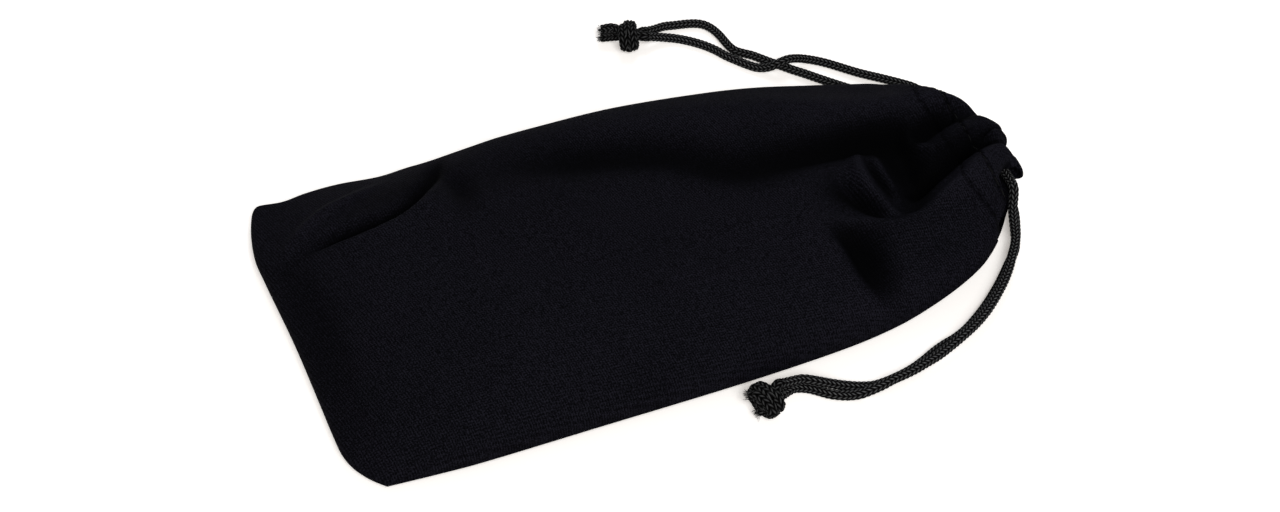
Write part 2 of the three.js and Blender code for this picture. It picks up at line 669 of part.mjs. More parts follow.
const FAR_STRAND_BACK = [
  [FAR_CORD_X + CORD_LEAD, FAR_BACK_EXIT + PIECE_GAP, BACK_CORD_Z],
  [82.6, 19.5, 3.6],
  [82.2, 22.4, 2.6],
  [81.2, 25.6, 1.6],
  [79.2, 28.8, 1.2],
  [75.6, 32.5, 1.2],
  [70.9, 36.9, 1.2],
  [65.7, 41.8, 1.2],
  [61.2, 46.2, 1.2],
  [56.9, 50.6, 1.2],
  [54.8, 52.6, 1.2],
  [52.9, 54.6, 1.2],
  [50.8, 56.7, 1.2],
  [48.7, 59, 1.2],
  [46.7, 61.2, 1.2],
  [44.8, 62.7, 1.2],
  [43.2, 64.2, 1.2],
  [42.3, 66.2, 1.2],
  [41.8, 68.6, 1.2],
  [41.2, 71.7, 1.2],
  [40.1, 74.7, 1.2],
  [38.6, 76.7, 1.2],
  [36.7, 77.8, 1.2],
  [34.2, 78.4, 1.2],
  [31.3, 78.8, 1.2],
  [28.4, 79, 1.4],
  [25.2, 78.2, 1.8],
  [21.4, 77, 2.9],
];

// A knot is a lump with three turns of cord showing round it.
function knotGeometry([x, y, z], [a, b, c]) {
  const geometry = new THREE.IcosahedronGeometry(1, KNOT_FACETS);
  const at = geometry.getAttribute("position");
  for (let i = 0; i < at.count; i += 1) {
    const p = new THREE.Vector3().fromBufferAttribute(at, i);
    const turn = 1 + 0.07 * Math.cos(3 * Math.atan2(p.z, p.y) + 2.2 * p.x);
    at.setXYZ(i, x + a * p.x * turn, y + b * p.y * turn, z + c * p.z * turn);
  }
  return geometry;
}

// Overlocked seam allowance inside the pouch, a soft bead that rests on the back panel.
const overlockInset = OVERLOCK / 2 + CLOTH + 2 * PIECE_GAP + 1;

function sideOverlock(yOf, heightOf, inward) {
  const [start, end] = [BOTTOM_X + 18, JOINT_X - 8];
  const points = [];
  const count = 16;
  for (let i = 0; i <= count; i += 1) {
    const x = mix(start, end, i / count);
    const y = yOf(x) + inward * overlockInset;
    const v = across(x, y);
    const rest = backHeight(x, v, x - BOTTOM_X) + CLOTH / 2 + PIECE_GAP;
    points.push([x, y, rest + OVERLOCK / 2 + 0.35 * (heightOf(x) / 8)]);
  }
  return tube(points, OVERLOCK / 2, CORD_SIDES, 32);
}

function bottomOverlock() {
  const points = [];
  const count = 10;
  for (let i = 0; i <= count; i += 1) {
    const t = mix(0.2, 0.84, i / count);
    const p = bottomCurve.getPointAt(t);
    const inland = overlockInset;
    const v = 2 * t - 1;
    const x = p.x + inland;
    points.push([x, p.y, backHeight(x, v, inland) + CLOTH / 2 + 1.6 * PIECE_GAP + OVERLOCK / 2]);
  }
  return tube(points, OVERLOCK / 2, CORD_SIDES, 14);
}

// Rows of thread
function threadGrid(x0, x1, reach, height) {
  return [x0, x1].map((x) => {
    const row = [];
    for (let j = 0; j <= HEM_STATIONS; j += 1) {
      const v = hemV(j) * reach;
      const y = mix(nearY(x), farY(x), (v + 1) / 2);
      row.push(new THREE.Vector3(x, y, height(x, y, v)));
    }
    return row;
  });
}

function threadRow(x, reach, low, high) {
  return slab(threadGrid(x, x + THREAD, reach, high), threadGrid(x, x + THREAD, reach, low));
}

const LOWER_ROW_X = JOINT_X + PIECE_GAP;
const UPPER_ROW_X = HEM_X + ROW_SPACING;

function frontLowerRow() {
  return threadRow(LOWER_ROW_X, 0.93, (x, y, v) => frontTop(x, y, v) - CLOTH, frontTop);
}

function frontUpperRow() {
  const above = (lift) => (x, y, v) => frontTop(x, y, v) + PIECE_GAP * 1.6 + lift;
  return threadRow(UPPER_ROW_X - 1.2, 0.86, above(0), above(THREAD));
}

function backLowerRow() {
  const at = (lift) => (x, y, v) => backHeight(x, v, BODY_LENGTH) - CLOTH / 2 + lift;
  return threadRow(LOWER_ROW_X, 0.93, at(0), at(CLOTH));
}

function backUpperRow() {
  const rest = 1.5 * CLOTH + 1.4 * PIECE_GAP;
  const at = (lift) => (x, y, v) => backHeight(x, v, BODY_LENGTH) + rest + lift;
  return threadRow(UPPER_ROW_X - 1.2, 0.9, at(0), at(THREAD));
}

// Colours and finishes
const cloth = new THREE.MeshStandardMaterial({ color: 0x17161b, roughness: 0.95, metalness: 0 });
const thread = new THREE.MeshStandardMaterial({ color: 0x0d0d10, roughness: 0.7, metalness: 0 });
const braid = new THREE.MeshStandardMaterial({ color: 0x101013, roughness: 0.45, metalness: 0 });

const pouch = new THREE.Group();

function add(name, geometry, material) {
  const mesh = new THREE.Mesh(geometry, material);
  mesh.name = name;
  pouch.add(mesh);
}

const frontRows = panelRows(...FRONT_GRID, -CLOTH / 2, frontHeight);
const backRows = panelRows(...BACK_GRID, 0, (x, y, v, inland) => backHeight(x, v, inland));
add("front_panel", clothSheet(frontRows), cloth);
add("back_panel", clothSheet(backRows), cloth);
add("front_hem", frontHemGeometry(), cloth);
add("back_hem", backHemGeometry(), cloth);
add("near_overlock", sideOverlock(nearY, nearHeight, 1), thread);
add("far_overlock", sideOverlock(farY, farHeight, -1), thread);
add("bottom_overlock", bottomOverlock(), thread);
add("front_hem_stitch_lower", frontLowerRow(), thread);
add("front_hem_stitch_upper", frontUpperRow(), thread);
add("back_hem_stitch_lower", backLowerRow(), thread);
add("back_hem_stitch_upper", backUpperRow(), thread);

const NEAR_KNOT = [9.6, -49.5, 3.9];
const FAR_KNOT = [17.6, 75.6, 3.7];
const NEAR_TAILS = [
  [[-3.4, 0.9, 0.5], [-4.7, 1.1, 0.3]],
  [[-3.3, -2, 0.4], [-4.4, -2.9, -0.4]],
];
const FAR_TAILS = [
  [[-3, 3.3, 0.7], [-6.3, 4.1, 0.4]],
  [[-3, 3.1, -1.8], [-6.3, 4.2, -2.2]],
];

function tailGeometry(knot, [from, to]) {
  const at = (offset) => knot.map((k, i) => k + offset[i]);
  const middle = from.map((f, i) => (f + to[i]) / 2);
  return tube([at(from), at(middle), at(to)], CORD / 2, CORD_SIDES, 2);
}

add("near_drawstring_run", runGeometry(NEAR_CORD_X, NEAR_FRONT_EXIT, NEAR_BACK_EXIT, BIGHT_NEAR_Y), braid);
add("near_strand_front", tube(NEAR_STRAND_FRONT, CORD / 2, CORD_SIDES, 48), braid);
add("near_strand_back", tube(NEAR_STRAND_BACK, CORD / 2, CORD_SIDES, 44), braid);
add("near_knot", knotGeometry(NEAR_KNOT, KNOT_SIZE), braid);
add("near_tail_front", tailGeometry(NEAR_KNOT, NEAR_TAILS[0]), braid);
add("near_tail_back", tailGeometry(NEAR_KNOT, NEAR_TAILS[1]), braid);
add("far_drawstring_run", runGeometry(FAR_CORD_X, FAR_FRONT_EXIT, FAR_BACK_EXIT, BIGHT_FAR_Y), braid);
add("far_strand_front", tube(FAR_STRAND_FRONT, CORD / 2, CORD_SIDES, 48), braid);
add("far_strand_back", tube(FAR_STRAND_BACK, CORD / 2, CORD_SIDES, 44), braid);
add("far_knot", knotGeometry(FAR_KNOT, KNOT_SIZE), braid);
add("far_tail_front", tailGeometry(FAR_KNOT, FAR_TAILS[0]), braid);
add("far_tail_back", tailGeometry(FAR_KNOT, FAR_TAILS[1]), braid);

export default pouch;
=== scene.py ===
# %% [markdown]
# # Dressing a drawstring pouch for sunglasses
# The pouch is a soft, brushed, near-black bag that lies on a white table. Two braided cords run
# through the hem of its mouth, one pulled to each side, and end in a knot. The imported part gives
# the sizes and the places; this file gives the cloth, the stitches and the braid their looks.
# Everything is in metres, +X points out of the mouth, +Y to the far side and +Z up.

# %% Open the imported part
import math
import bpy
import numpy as np
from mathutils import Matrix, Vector


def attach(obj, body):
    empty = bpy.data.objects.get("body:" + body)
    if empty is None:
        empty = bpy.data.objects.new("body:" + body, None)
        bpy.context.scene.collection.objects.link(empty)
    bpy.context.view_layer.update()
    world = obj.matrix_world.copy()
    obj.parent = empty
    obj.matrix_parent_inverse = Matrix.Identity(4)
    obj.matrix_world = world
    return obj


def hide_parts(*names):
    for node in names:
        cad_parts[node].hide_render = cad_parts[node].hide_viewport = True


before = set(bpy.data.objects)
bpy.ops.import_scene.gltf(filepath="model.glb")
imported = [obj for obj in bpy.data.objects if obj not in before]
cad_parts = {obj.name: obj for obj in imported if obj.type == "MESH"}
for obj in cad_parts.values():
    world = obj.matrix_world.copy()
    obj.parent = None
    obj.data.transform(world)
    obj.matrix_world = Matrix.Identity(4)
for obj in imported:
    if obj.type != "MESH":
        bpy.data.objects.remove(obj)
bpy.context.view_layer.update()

# %% [markdown]
# ## The camera
# The photograph looks down on the pouch at about 47 degrees, from the near side and slightly from
# its closed end. The place and the lens were found by fitting the pouch's straight sides, so the
# render can be laid over the photograph.

# %% Set the camera
camera_data = bpy.data.cameras.new("photo_camera")
camera_data.sensor_width = 36
camera_data.lens = 55.41
camera = bpy.data.objects.new("photo_camera", camera_data)
bpy.context.collection.objects.link(camera)
camera.location = (-0.10007, -0.29838, 0.34008)
looked_at = Vector((-0.0026, 0.0034, 0))
camera.rotation_euler = (looked_at - camera.location).to_track_quat("-Z", "Y").to_euler()
camera_data.clip_start, camera_data.clip_end = 0.01, 10
bpy.context.scene.camera = camera

# %% [markdown]
# ## Smooth lines and meshes
# A cord, a row of stitches and a seam all follow a line, so one helper turns given points
# into a smooth line of even steps, and one more turns points and faces into a named piece.

# %% Helpers for lines and meshes
MM = 0.001


def between(t, start, leave, end, arrive):
    """A smooth way from start to end with a slope given at both, for t from 0 to 1."""
    return (
        (2 * t**3 - 3 * t**2 + 1) * start
        + (t**3 - 2 * t**2 + t) * leave
        + (3 * t**2 - 2 * t**3) * end
        + (t**3 - t**2) * arrive
    )


def even_steps(line, spacing):
    """The same line with its points spaced evenly."""
    gaps = np.linalg.norm(np.diff(line, axis=0), axis=1)
    run = np.concatenate([[0], np.cumsum(gaps)])
    count = max(int(round(run[-1] / spacing)), 2)
    at = np.linspace(0, run[-1], count + 1)
    return np.column_stack([np.interp(at, run, line[:, k]) for k in range(3)])


def smooth_line(points, spacing):
    """A smooth curve through the points, which bends gently where they are close together."""
    p = np.asarray(points, float)
    p = np.vstack([2 * p[0] - p[1], p, 2 * p[-1] - p[-2]])
    t = np.linspace(0, 1, 24, endpoint=False)[:, None]
    pieces = []
    for a, b, c, d in zip(p, p[1:], p[2:], p[3:]):
        ab, bc, cd = (math.sqrt(np.linalg.norm(v)) for v in (b - a, c - b, d - c))
        leave = ((b - a) / ab - (c - a) / (ab + bc) + (c - b) / bc) * bc
        arrive = ((c - b) / bc - (d - b) / (bc + cd) + (d - c) / cd) * bc
        pieces.append(between(t, b, leave, c, arrive))
    return even_steps(np.vstack(pieces + [p[-2:-1]]), spacing)


def line_length(line):
    return float(np.linalg.norm(np.diff(line, axis=0), axis=1).sum())


def unit(v):
    return v / np.maximum(np.linalg.norm(v, axis=-1, keepdims=True), 1e-12)


def mix(a, b, t):
    return a + (b - a) * t


def new_piece(name, points, faces, material, body):
    """A named mesh object in the scene, with one material, riding on a body of the frame."""
    mesh = bpy.data.meshes.new(name)
    faces = faces.tolist() if isinstance(faces, np.ndarray) else [list(f) for f in faces]
    mesh.from_pydata(np.asarray(points).tolist(), [], faces)
    mesh.polygons.foreach_set("use_smooth", [True] * len(mesh.polygons))
    mesh.materials.append(material)
    mesh.update()
    piece = bpy.data.objects.new(name, mesh)
    bpy.context.collection.objects.link(piece)
    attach(piece, body)
    return piece


def grid_faces(rows, columns, start=0, closed=False):
    """Four-sided faces of a grid of points. A closed grid joins its last column to its first."""
    i, j = np.meshgrid(np.arange(rows - 1), np.arange(columns - (not closed)), indexing="ij")
    i, j = i.ravel(), j.ravel()
    k = (j + 1) % columns
    return start + np.column_stack(
        [i * columns + j, (i + 1) * columns + j, (i + 1) * columns + k, i * columns + k]
    )


# %% [markdown]
# ## What a finish is made of
# A material here is a small graph of nodes. Writing each link by hand is long, so a tiny wrapper
# makes a node, sets its plain values and links what is passed to it.

# %% A short way to write node graphs
class Graph:
    """Makes and links the nodes of one material."""

    def __init__(self, name):
        self.material = bpy.data.materials.new(name)
        self.material.use_nodes = True
        self.tree = self.material.node_tree
        self.shader = self.tree.nodes["Principled BSDF"]

    def node(self, kind, inputs=(), **settings):
        made = self.tree.nodes.new(kind)
        for key, value in settings.items():
            setattr(made, key, value)
        for key, value in dict(inputs).items():
            self.put(made.inputs[key], value)
        return made

    def put(self, socket, value):
        if isinstance(value, bpy.types.NodeSocket):
            self.tree.links.new(value, socket)
        else:
            socket.default_value = value

    def math(self, operation, a, b=0.0, c=0.0):
        made = self.node("ShaderNodeMath", operation=operation)
        for socket, value in zip(made.inputs, (a, b, c)):
            self.put(socket, value)
        return made.outputs[0]

    def mix_colour(self, factor, a, b):
        made = self.node("ShaderNodeMix", data_type="RGBA")
        for key, value in (("Factor", factor), ("A", a), ("B", b)):
            for socket in made.inputs:
                if socket.name == key and socket.enabled:
                    self.put(socket, value)
        return next(s for s in made.outputs if s.enabled)

    def finish(self, **values):
        for key, value in values.items():
            self.put(self.shader.inputs[key.replace("_", " ")], value)
        return self.material


def grey(value, blue=1.0):
    return (value, value, value * blue, 1)


# %% [markdown]
# ## The cord
# The drawstrings are thin braids, about two millimetres thick. Their yarns lie in columns of
# slanted stitches, and where two columns meet they make the chevrons that glint in the photograph.
# A plain tube with a bump map would lose them at the cord's outline, so the stitches are real
# geometry. The yarn is black. The crest of each stitch is stored with the places of the points, and
# the finish paints it lighter: a painted highlight on each crest, with the grooves left dark.

# %% Yarn of the braid
def make_braid_finish():
    g = Graph("braid")
    place = g.node("ShaderNodeAttribute", attribute_name="along")
    fibres = g.node(
        "ShaderNodeTexNoise", {"Vector": place.outputs["Vector"], "Scale": 1.0, "Detail": 3.0}
    )
    bump = g.node(
        "ShaderNodeBump", {"Height": fibres.outputs[0], "Strength": 0.35, "Distance": 0.0001}
    )
    crest = g.node("ShaderNodeSeparateXYZ", {"Vector": place.outputs["Vector"]}).outputs["Z"]
    # Painted highlight: the stored crest, broken up by the fibres, lightens the black yarn.
    painted_glint = g.math("MULTIPLY", crest, g.math("MULTIPLY_ADD", fibres.outputs[0], 1.2, 0.4))
    return g.finish(
        Base_Color=g.mix_colour(painted_glint, grey(0.0005), grey(0.135)),
        Roughness=0.5,
        Specular_IOR_Level=0.01,
        Normal=bump.outputs[0],
    )


braid = make_braid_finish()

# %% [markdown]
# The tube follows its line with a frame that is carried along without twisting. Round each ring the
# radius rises and falls: columns of stitches stand side by side, each stitch slants, and the slant
# turns over from one column to the next. Stitches of thread, loose yarns and overlocked edges are
# tubes as well, so they share the rings and the closed ends.

# %% Braid a tube along a line
COLUMNS = 8
SIDES = 56
STITCH = 1.1 * MM
BRAID_STEP = 0.14 * MM
BRAID_RADIUS = 1.14 * MM
BRAID_DEPTH = 0.3


def carried_frame(line):
    """Directions sideways and up along a line, without twist."""
    ahead = unit(np.gradient(line, axis=0))
    side = np.cross(ahead[0], (0, 0, 1))
    if np.linalg.norm(side) < 0.1:
        side = np.cross(ahead[0], (0, 1, 0))
    sides = []
    for direction in ahead:
        side = unit(side - direction * side.dot(direction))
        sides.append(side)
    sides = np.array(sides)
    return sides, np.cross(sides, ahead)


def rings_round(line, radius, turn):
    """A ring of points round each point of a line. Turn runs from 0 to 1 once round."""
    side, up = carried_frame(line)
    angle = 2 * np.pi * turn[None, :, None]
    around = np.cos(angle) * side[:, None] + np.sin(angle) * up[:, None]
    return line[:, None] + radius[..., None] * around


def tube_faces(rings):
    return grid_faces(*rings.shape[:2], closed=True)[:, ::-1].tolist()


def pointed_tube(line, rings):
    """Points and faces of a tube whose ends close on the first and last point of its line."""
    points = np.vstack([rings.reshape(-1, 3), line[:1], line[-1:]])
    sides = rings.shape[1]
    first, last = len(points) - 2, len(points) - 1
    tip = first - sides
    faces = tube_faces(rings)
    faces += [(first, (k + 1) % sides, k) for k in range(sides)]
    faces += [(last, tip + k, tip + (k + 1) % sides) for k in range(sides)]
    return points, faces


def blunt_tube(rings):
    """Points and faces of a tube with one flat face at each end."""
    points = rings.reshape(-1, 3)
    sides, end = rings.shape[1], len(points)
    ends = [tuple(range(sides)), tuple(range(end - 1, end - sides - 1, -1))]
    return points, tube_faces(rings) + ends


def braided_tube(line, radius):
    """Points and faces of a braid, and the place of each point along and round it."""
    run = np.arange(len(line)) * line_length(line) / (len(line) - 1)
    turn = np.arange(SIDES) / SIDES
    column = np.floor(turn * COLUMNS)
    across = turn * COLUMNS - column - 0.5 + 0.5 / (SIDES / COLUMNS)
    slant = np.where(column % 2 == 0, 1, -1)
    phase = run[:, None] / STITCH + (slant * across * 1.1 + 0.5 * (column // 2 % 2))[None, :]
    yarn = np.sqrt(np.clip(1 - (1.9 * across) ** 2, 0, 1))[None, :]
    across_row = np.abs(np.cos(np.pi * phase))
    relief = BRAID_DEPTH * yarn * (0.2 + 0.8 * across_row**0.6) * 1.15
    # How high each point stands in its stitch; the braid finish paints a highlight there.
    crest = yarn**5 * across_row**7
    fibre = np.broadcast_arrays(phase * 2.2 + column * 7, turn * COLUMNS * 9, crest)
    fibre = np.stack(fibre, axis=-1).reshape(-1, 3)
    rings = rings_round(line, radius * (1 - BRAID_DEPTH + relief), turn)
    return *pointed_tube(line, rings), np.vstack([fibre, fibre[:1], fibre[-1:]])


def yarn_piece(name, form, finish, body, node):
    """A piece of yarn from its points, faces and places. The places are stored for its finish."""
    points, faces, places = form
    piece = new_piece(name, points, faces, finish, body)
    layer = piece.data.attributes.new("along", "FLOAT_VECTOR", "POINT")
    layer.data.foreach_set("vector", np.asarray(places, float).ravel())
    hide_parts(node)
    return piece


# %% [markdown]
# ## Four free strands
# Each drawstring leaves its channel twice, once from the front hem and once from the back hem, and
# the two strands of a pair lie loosely together on the table. These are the routes of the packed
# part in millimetres, with the last centimetre of the near pair bent as the photograph shows it. A
# point without a height lies on the table. The near pair lies one strand on the other for most of
# its way, and the far pair crosses.

# %% Routes of the strands
CORD_RADIUS = 1.05 * MM
LYING = 1.2
routes = {
    "near_strand_front": [
        (84.2, -12.65, 12.9), (84, -14.1, 12.4), (83.6, -15.3, 11.2), (83.3, -16.1, 9.6),
        (83.2, -16.8, 7.9), (83.2, -17.6, 6.3), (83.1, -18.7, 4.9), (82.7, -20.2, 4.1),
        (82.1, -21.9, 3.7), (80.9, -23.9, 3.5), (79.1, -26.4, 3.4), (76.9, -29.5, 3.4),
        (74.1, -32.8, 3.3), (70.5, -36.4, 3.3), (66.5, -39.9, 3.2), (62.2, -42.9, 3.2),
        (58.2, -45.1, 3.2), (54.2, -46.9, 2.8), (50.6, -48.5, 2.8), (47.3, -49.7, 3),
        (44.2, -50.8, 3.2), (41.2, -51.5, 3.2), (38.4, -52, 3.2), (35.5, -52.7, 3),
        (32.8, -53, 2.7), (30.4, -52.8, 2), (28.3, -52, 1.3), (26.2, -51.2), (24.1, -50.1),
        (22.3, -48.7), (20.7, -47.5), (18.9, -46.6), (17, -46.2), (15, -46.9, 1.4),
        (12.9, -48, 2.2),
    ],
    "near_strand_back": [
        (86.2, -10.7, 3.6), (86.1, -12.6, 3.2), (85.7, -14.5, 2.3), (85, -16.5, 1.6), (84.2, -18.5),
        (82.9, -20.9), (81.7, -23), (80.1, -24.9), (78.3, -26.8), (74.4, -31), (71.3, -34),
        (67.9, -37), (64.1, -39.9), (60.3, -42.4), (57.1, -43.9), (54.3, -44.8), (51.3, -46),
        (47.9, -47.7), (44.4, -49.2), (40.4, -50.3), (36.8, -50.9), (34.3, -51), (31.7, -50.5, 1.3),
        (29.2, -49.8, 1.6), (26.6, -48.9, 2), (24.7, -48.3, 2.5), (22.3, -47.6, 3.3),
        (20.6, -46.9, 3.6), (19, -46.1, 3.5), (17.2, -45.9, 3.4), (15, -46.1, 3.7),
        (13, -46.7, 4.4),
    ],
    "far_strand_front": [
        (80.7, 19.5, 12.9), (80.8, 21.3, 12.4), (81, 22.9, 11), (81.3, 24.1, 9), (81.8, 25.5, 6.6),
        (82.4, 27.2, 4.4), (83, 29.6, 2.6), (83.3, 32.4, 1.5), (82.9, 35), (81.6, 37.2),
        (79.6, 39.1), (75.2, 42.7), (70.5, 46.4), (66.1, 50.5), (63.8, 52.6), (61.4, 54.4),
        (58.8, 55.3, 1.7), (56.6, 55.1, 2.6), (54.4, 54.7, 3.3), (52.3, 54.2, 3.5), (50.6, 54.2, 3),
        (49.1, 54.7, 2.1), (47.6, 55.5, 1.5), (46.1, 56.5), (43.9, 58.6), (42.4, 60.4), (40.3, 63),
        (38.4, 66), (36.2, 68.7), (33.1, 71.5), (29.8, 73.7), (25.7, 74.6, 2), (21.4, 74.4, 3.6),
    ],
    "far_strand_back": [
        (82.7, 16.9, 3.6), (82.6, 19.5, 3.6), (82.2, 22.4, 2.6), (81.2, 25.6, 1.6), (79.2, 28.8),
        (75.6, 32.5), (70.9, 36.9), (65.7, 41.8), (61.2, 46.2), (56.9, 50.6), (54.8, 52.6),
        (52.9, 54.6), (50.8, 56.7), (48.7, 59), (46.7, 61.2), (44.8, 62.7), (43.2, 64.2),
        (42.3, 66.2), (41.8, 68.6), (41.2, 71.7), (40.1, 74.7), (38.6, 76.7), (36.7, 77.8),
        (34.2, 78.4), (31.3, 78.8), (28.4, 79, 1.4), (25.2, 78.2, 1.8), (21.4, 77, 2.9),
    ],
}

# %% Braid the strands
strand_lines, strand_pieces = {}, {}
for node, route in routes.items():
    line = smooth_line([np.array((*point, LYING)[:3]) * MM for point in route], BRAID_STEP)
    form = braided_tube(line, BRAID_RADIUS)
    body = node.split("_")[0] + "_drawstring"
    strand_lines[node] = line
    strand_pieces[node] = yarn_piece(node + "_braid", form, braid, body, node)
    print(node, "is", round(line_length(line) * 1000, 1), "mm long")

# %% [markdown]
# Inside the hem each cord runs straight, bends round at the far end of its channel and comes back
# through the other hem. Most of this is hidden, but it shows at the casings' open ends and in the
# slot of the mouth, so it gets the same braid.

# %% Braid the runs in the channels
FRONT_CORD_Z, BACK_CORD_Z = 12.9 * MM, 3.6 * MM
CORD_LEAD = 2 * MM
channels = {"near": (84.2 * MM, 9.2 * MM), "far": (80.7 * MM, -11.2 * MM)}


def channel_line(x, exit_front, exit_back, bend_at):
    """Straight through the front hem, round the bend and straight back through the back hem."""
    out = math.copysign(1, bend_at - exit_front)
    rise, lead = (FRONT_CORD_Z - BACK_CORD_Z) / 2, CORD_LEAD / 2
    radius = math.hypot(rise, lead)
    start = bend_at - out * (radius + CORD_RADIUS)
    points = [(x, exit_front + (start - exit_front) * k, FRONT_CORD_Z) for k in (0, 0.35, 0.7)]
    for angle in np.linspace(0, math.pi, 9):
        points.append(
            (
                x + lead - lead * math.cos(angle),
                start + out * radius * math.sin(angle),
                (FRONT_CORD_Z + BACK_CORD_Z) / 2 + rise * math.cos(angle),
            )
        )
    for k in (0.3, 0.65, 1):
        points.append((x + CORD_LEAD, start + (exit_back - start) * k, BACK_CORD_Z))
    return smooth_line(points, BRAID_STEP)


for side, (x, bend_at) in channels.items():
    exits = [strand_lines[f"{side}_strand_{which}"][0, 1] for which in ("front", "back")]
    form = braided_tube(channel_line(x, *exits, bend_at), BRAID_RADIUS)
    body = side + "_drawstring"
    yarn_piece(body + "_braid", form, braid, body, body + "_run")

# %% [markdown]
# ## The knots
# Both strands of a pair are tied together in one overhand knot that keeps the cord from slipping
# back. A lump would do from far away. Here each strand really goes through the knot's middle,
# comes out at the tail's side, winds once round both and dives back in, so the bands show their
# crossings. The wound braid is a little thicker, and the painted highlight on its crests is weaker.

# %% Wind a knot
KNOT_HALF = np.array([2.9, 4.8, 3.7]) * MM
WOUND_RADIUS = 1.28 * MM
WINDINGS, WINDING_POINTS = 1.12, 10
WOUND_PAINTED_GLINT = 0.55


def knot_line(centre, tilt, come_from, leave_to, first_angle, band):
    """One strand's way through the knot, from the strand's end to the tail's start."""
    half = KNOT_HALF - WOUND_RADIUS
    turned = np.array(
        [[math.cos(tilt), -math.sin(tilt), 0], [math.sin(tilt), math.cos(tilt), 0], [0, 0, 1]]
    )
    through = [(1.3, -0.5 * band, -0.3), (0, -0.3 * band, -0.4), (-1.5, 0.4 * band, 0.1)]
    points = [np.array(p) * MM for p in through]
    for k in range(WINDING_POINTS):
        angle = first_angle + 2 * math.pi * WINDINGS * k / (WINDING_POINTS - 1)
        x = (0.8 * band - 0.7 + 1.4 * k / (WINDING_POINTS - 1)) * MM
        barrel = math.sqrt(max(1 - (x / (1.75 * half[0])) ** 2, 0.3))
        points.append(
            np.array([x, barrel * half[1] * math.cos(angle), barrel * half[2] * math.sin(angle)])
        )
    points.append(np.array([points[-1][0] * 0.3, 0.5 * MM * band, -0.6 * MM]))
    points = [turned @ p + centre for p in points]
    line = smooth_line([*come_from, *points, *leave_to], BRAID_STEP)
    line[:, 2] = np.maximum(line[:, 2], 1.06 * WOUND_RADIUS)
    return line


def joined(parts):
    """Points, faces and places of several closed forms as one."""
    points, faces, places, count = [], [], [], 0
    for p, f, w in parts:
        points.append(p)
        places.append(w)
        faces += [tuple(int(i) + count for i in face) for face in f]
        count += len(p)
    return np.vstack(points), faces, np.vstack(places)


knots = {
    "near": {
        "centre": np.array([9.2, -49.4, 3.9]) * MM,
        "tilt": math.radians(24),
        "tails": [
            [(-2.2, 1.6, 0.6), (-3.2, 2.1, 0.5)],
            [(-1.2, -0.8, -1.6), (-2.2, -1, -2.2)],
        ],
    },
    "far": {
        "centre": np.array([17.6, 75.6, 3.7]) * MM,
        "tilt": math.radians(-18),
        "tails": [
            [(-3, 3.3, 0.7), (-6.3, 4.1, 0.4)],
            [(-3, 3.1, -1.8), (-6.3, 4.2, -2.2)],
        ],
    },
}
for side, facts in knots.items():
    windings = []
    for k, which in enumerate(("front", "back")):
        line = knot_line(
            facts["centre"],
            facts["tilt"],
            strand_lines[f"{side}_strand_{which}"][[-12, -1]],
            np.array(facts["tails"][k]) * MM + facts["centre"],
            math.radians((70, 215)[k]),
            (-1, 1)[k],
        )
        windings.append(braided_tube(line, WOUND_RADIUS))
    points, faces, fibre = joined(windings)
    # The wound crests get a weaker painted highlight.
    fibre[:, 2] *= WOUND_PAINTED_GLINT
    yarn_piece(
        side + "_knot_wound",
        (points, faces, fibre),
        braid,
        side + "_drawstring",
        side + "_knot",
    )

# %% [markdown]
# The cut ends of a braid open up. Each tail is a short braid that ends bluntly, with fine yarns
# that stick out of the cut at slightly different angles and lengths.

# %% Cut and fray the tails
YARNS, SPREAD = 46, 0.9
YARN_RADIUS = 0.075 * MM
YARN_FLOOR = 0.3 * MM


def tapered_hair(start, end, bend):
    """A thin three-sided yarn from start to end that bows by bend."""
    t = np.linspace(0, 1, 6)[:, None]
    line = start + (end - start) * t + bend * (4 * t * (1 - t))
    points, faces = blunt_tube(rings_round(line, YARN_RADIUS * (1 - 0.55 * t), np.arange(3) / 3))
    # Loose yarns get a faint painted highlight from the braid finish.
    return points, faces, np.tile((0, 0, 0.35), (len(points), 1))


def frayed_tail(start, end, seed):
    """A short blunt braid from start to end with loose yarns at its cut."""
    chance = np.random.default_rng(seed)
    ahead = unit(end - start)
    side = unit(np.cross(ahead, (0, 0, 1)))
    up = np.cross(side, ahead)
    line = even_steps(np.array([start - ahead * 0.8 * MM, end]), BRAID_STEP)
    parts = [braided_tube(line, CORD_RADIUS * 0.98)]
    for _ in range(YARNS):
        angle, out = chance.uniform(0, 2 * np.pi), chance.uniform(0, 0.85)
        aside = math.cos(angle) * side + math.sin(angle) * up
        root = end + CORD_RADIUS * out * aside
        root[2] = max(root[2], YARN_FLOOR)
        lean = aside * SPREAD * out
        tip = root + (ahead + lean + chance.normal(0, 0.2, 3)) * chance.uniform(0.4, 1.1) * MM
        tip[2] = max(tip[2], YARN_FLOOR)
        bow = chance.normal(0, 0.08, 3) * MM
        parts.append(tapered_hair(root - ahead * 0.3 * MM, tip, bow))
    return joined(parts)


for side, facts in knots.items():
    for k, which in enumerate(("front", "back")):
        start, end = np.array(facts["tails"][k]) * MM + facts["centre"]
        form = frayed_tail(start, end, 11 * k + len(side))
        name = f"{side}_tail_{which}"
        body = side + "_drawstring"
        yarn_piece(name + "_frayed", form, braid, body, name)

# %% [markdown]
# Each strand ends in the knot of its pair. Below, only the name of each strand is split into its
# side and the hem that it leaves.

for node, line in strand_lines.items():
    side, _, which = node.split("_")

# %% [markdown]
# ## The outline of the pouch
# Seen from above the pouch is a long rectangle whose open end is drawn in. Its side seams and its
# closed end are given by a few measured points, in millimetres: how far the point lies from the
# mouth or from the closed end, how far in from the widest line, and how high above the table.

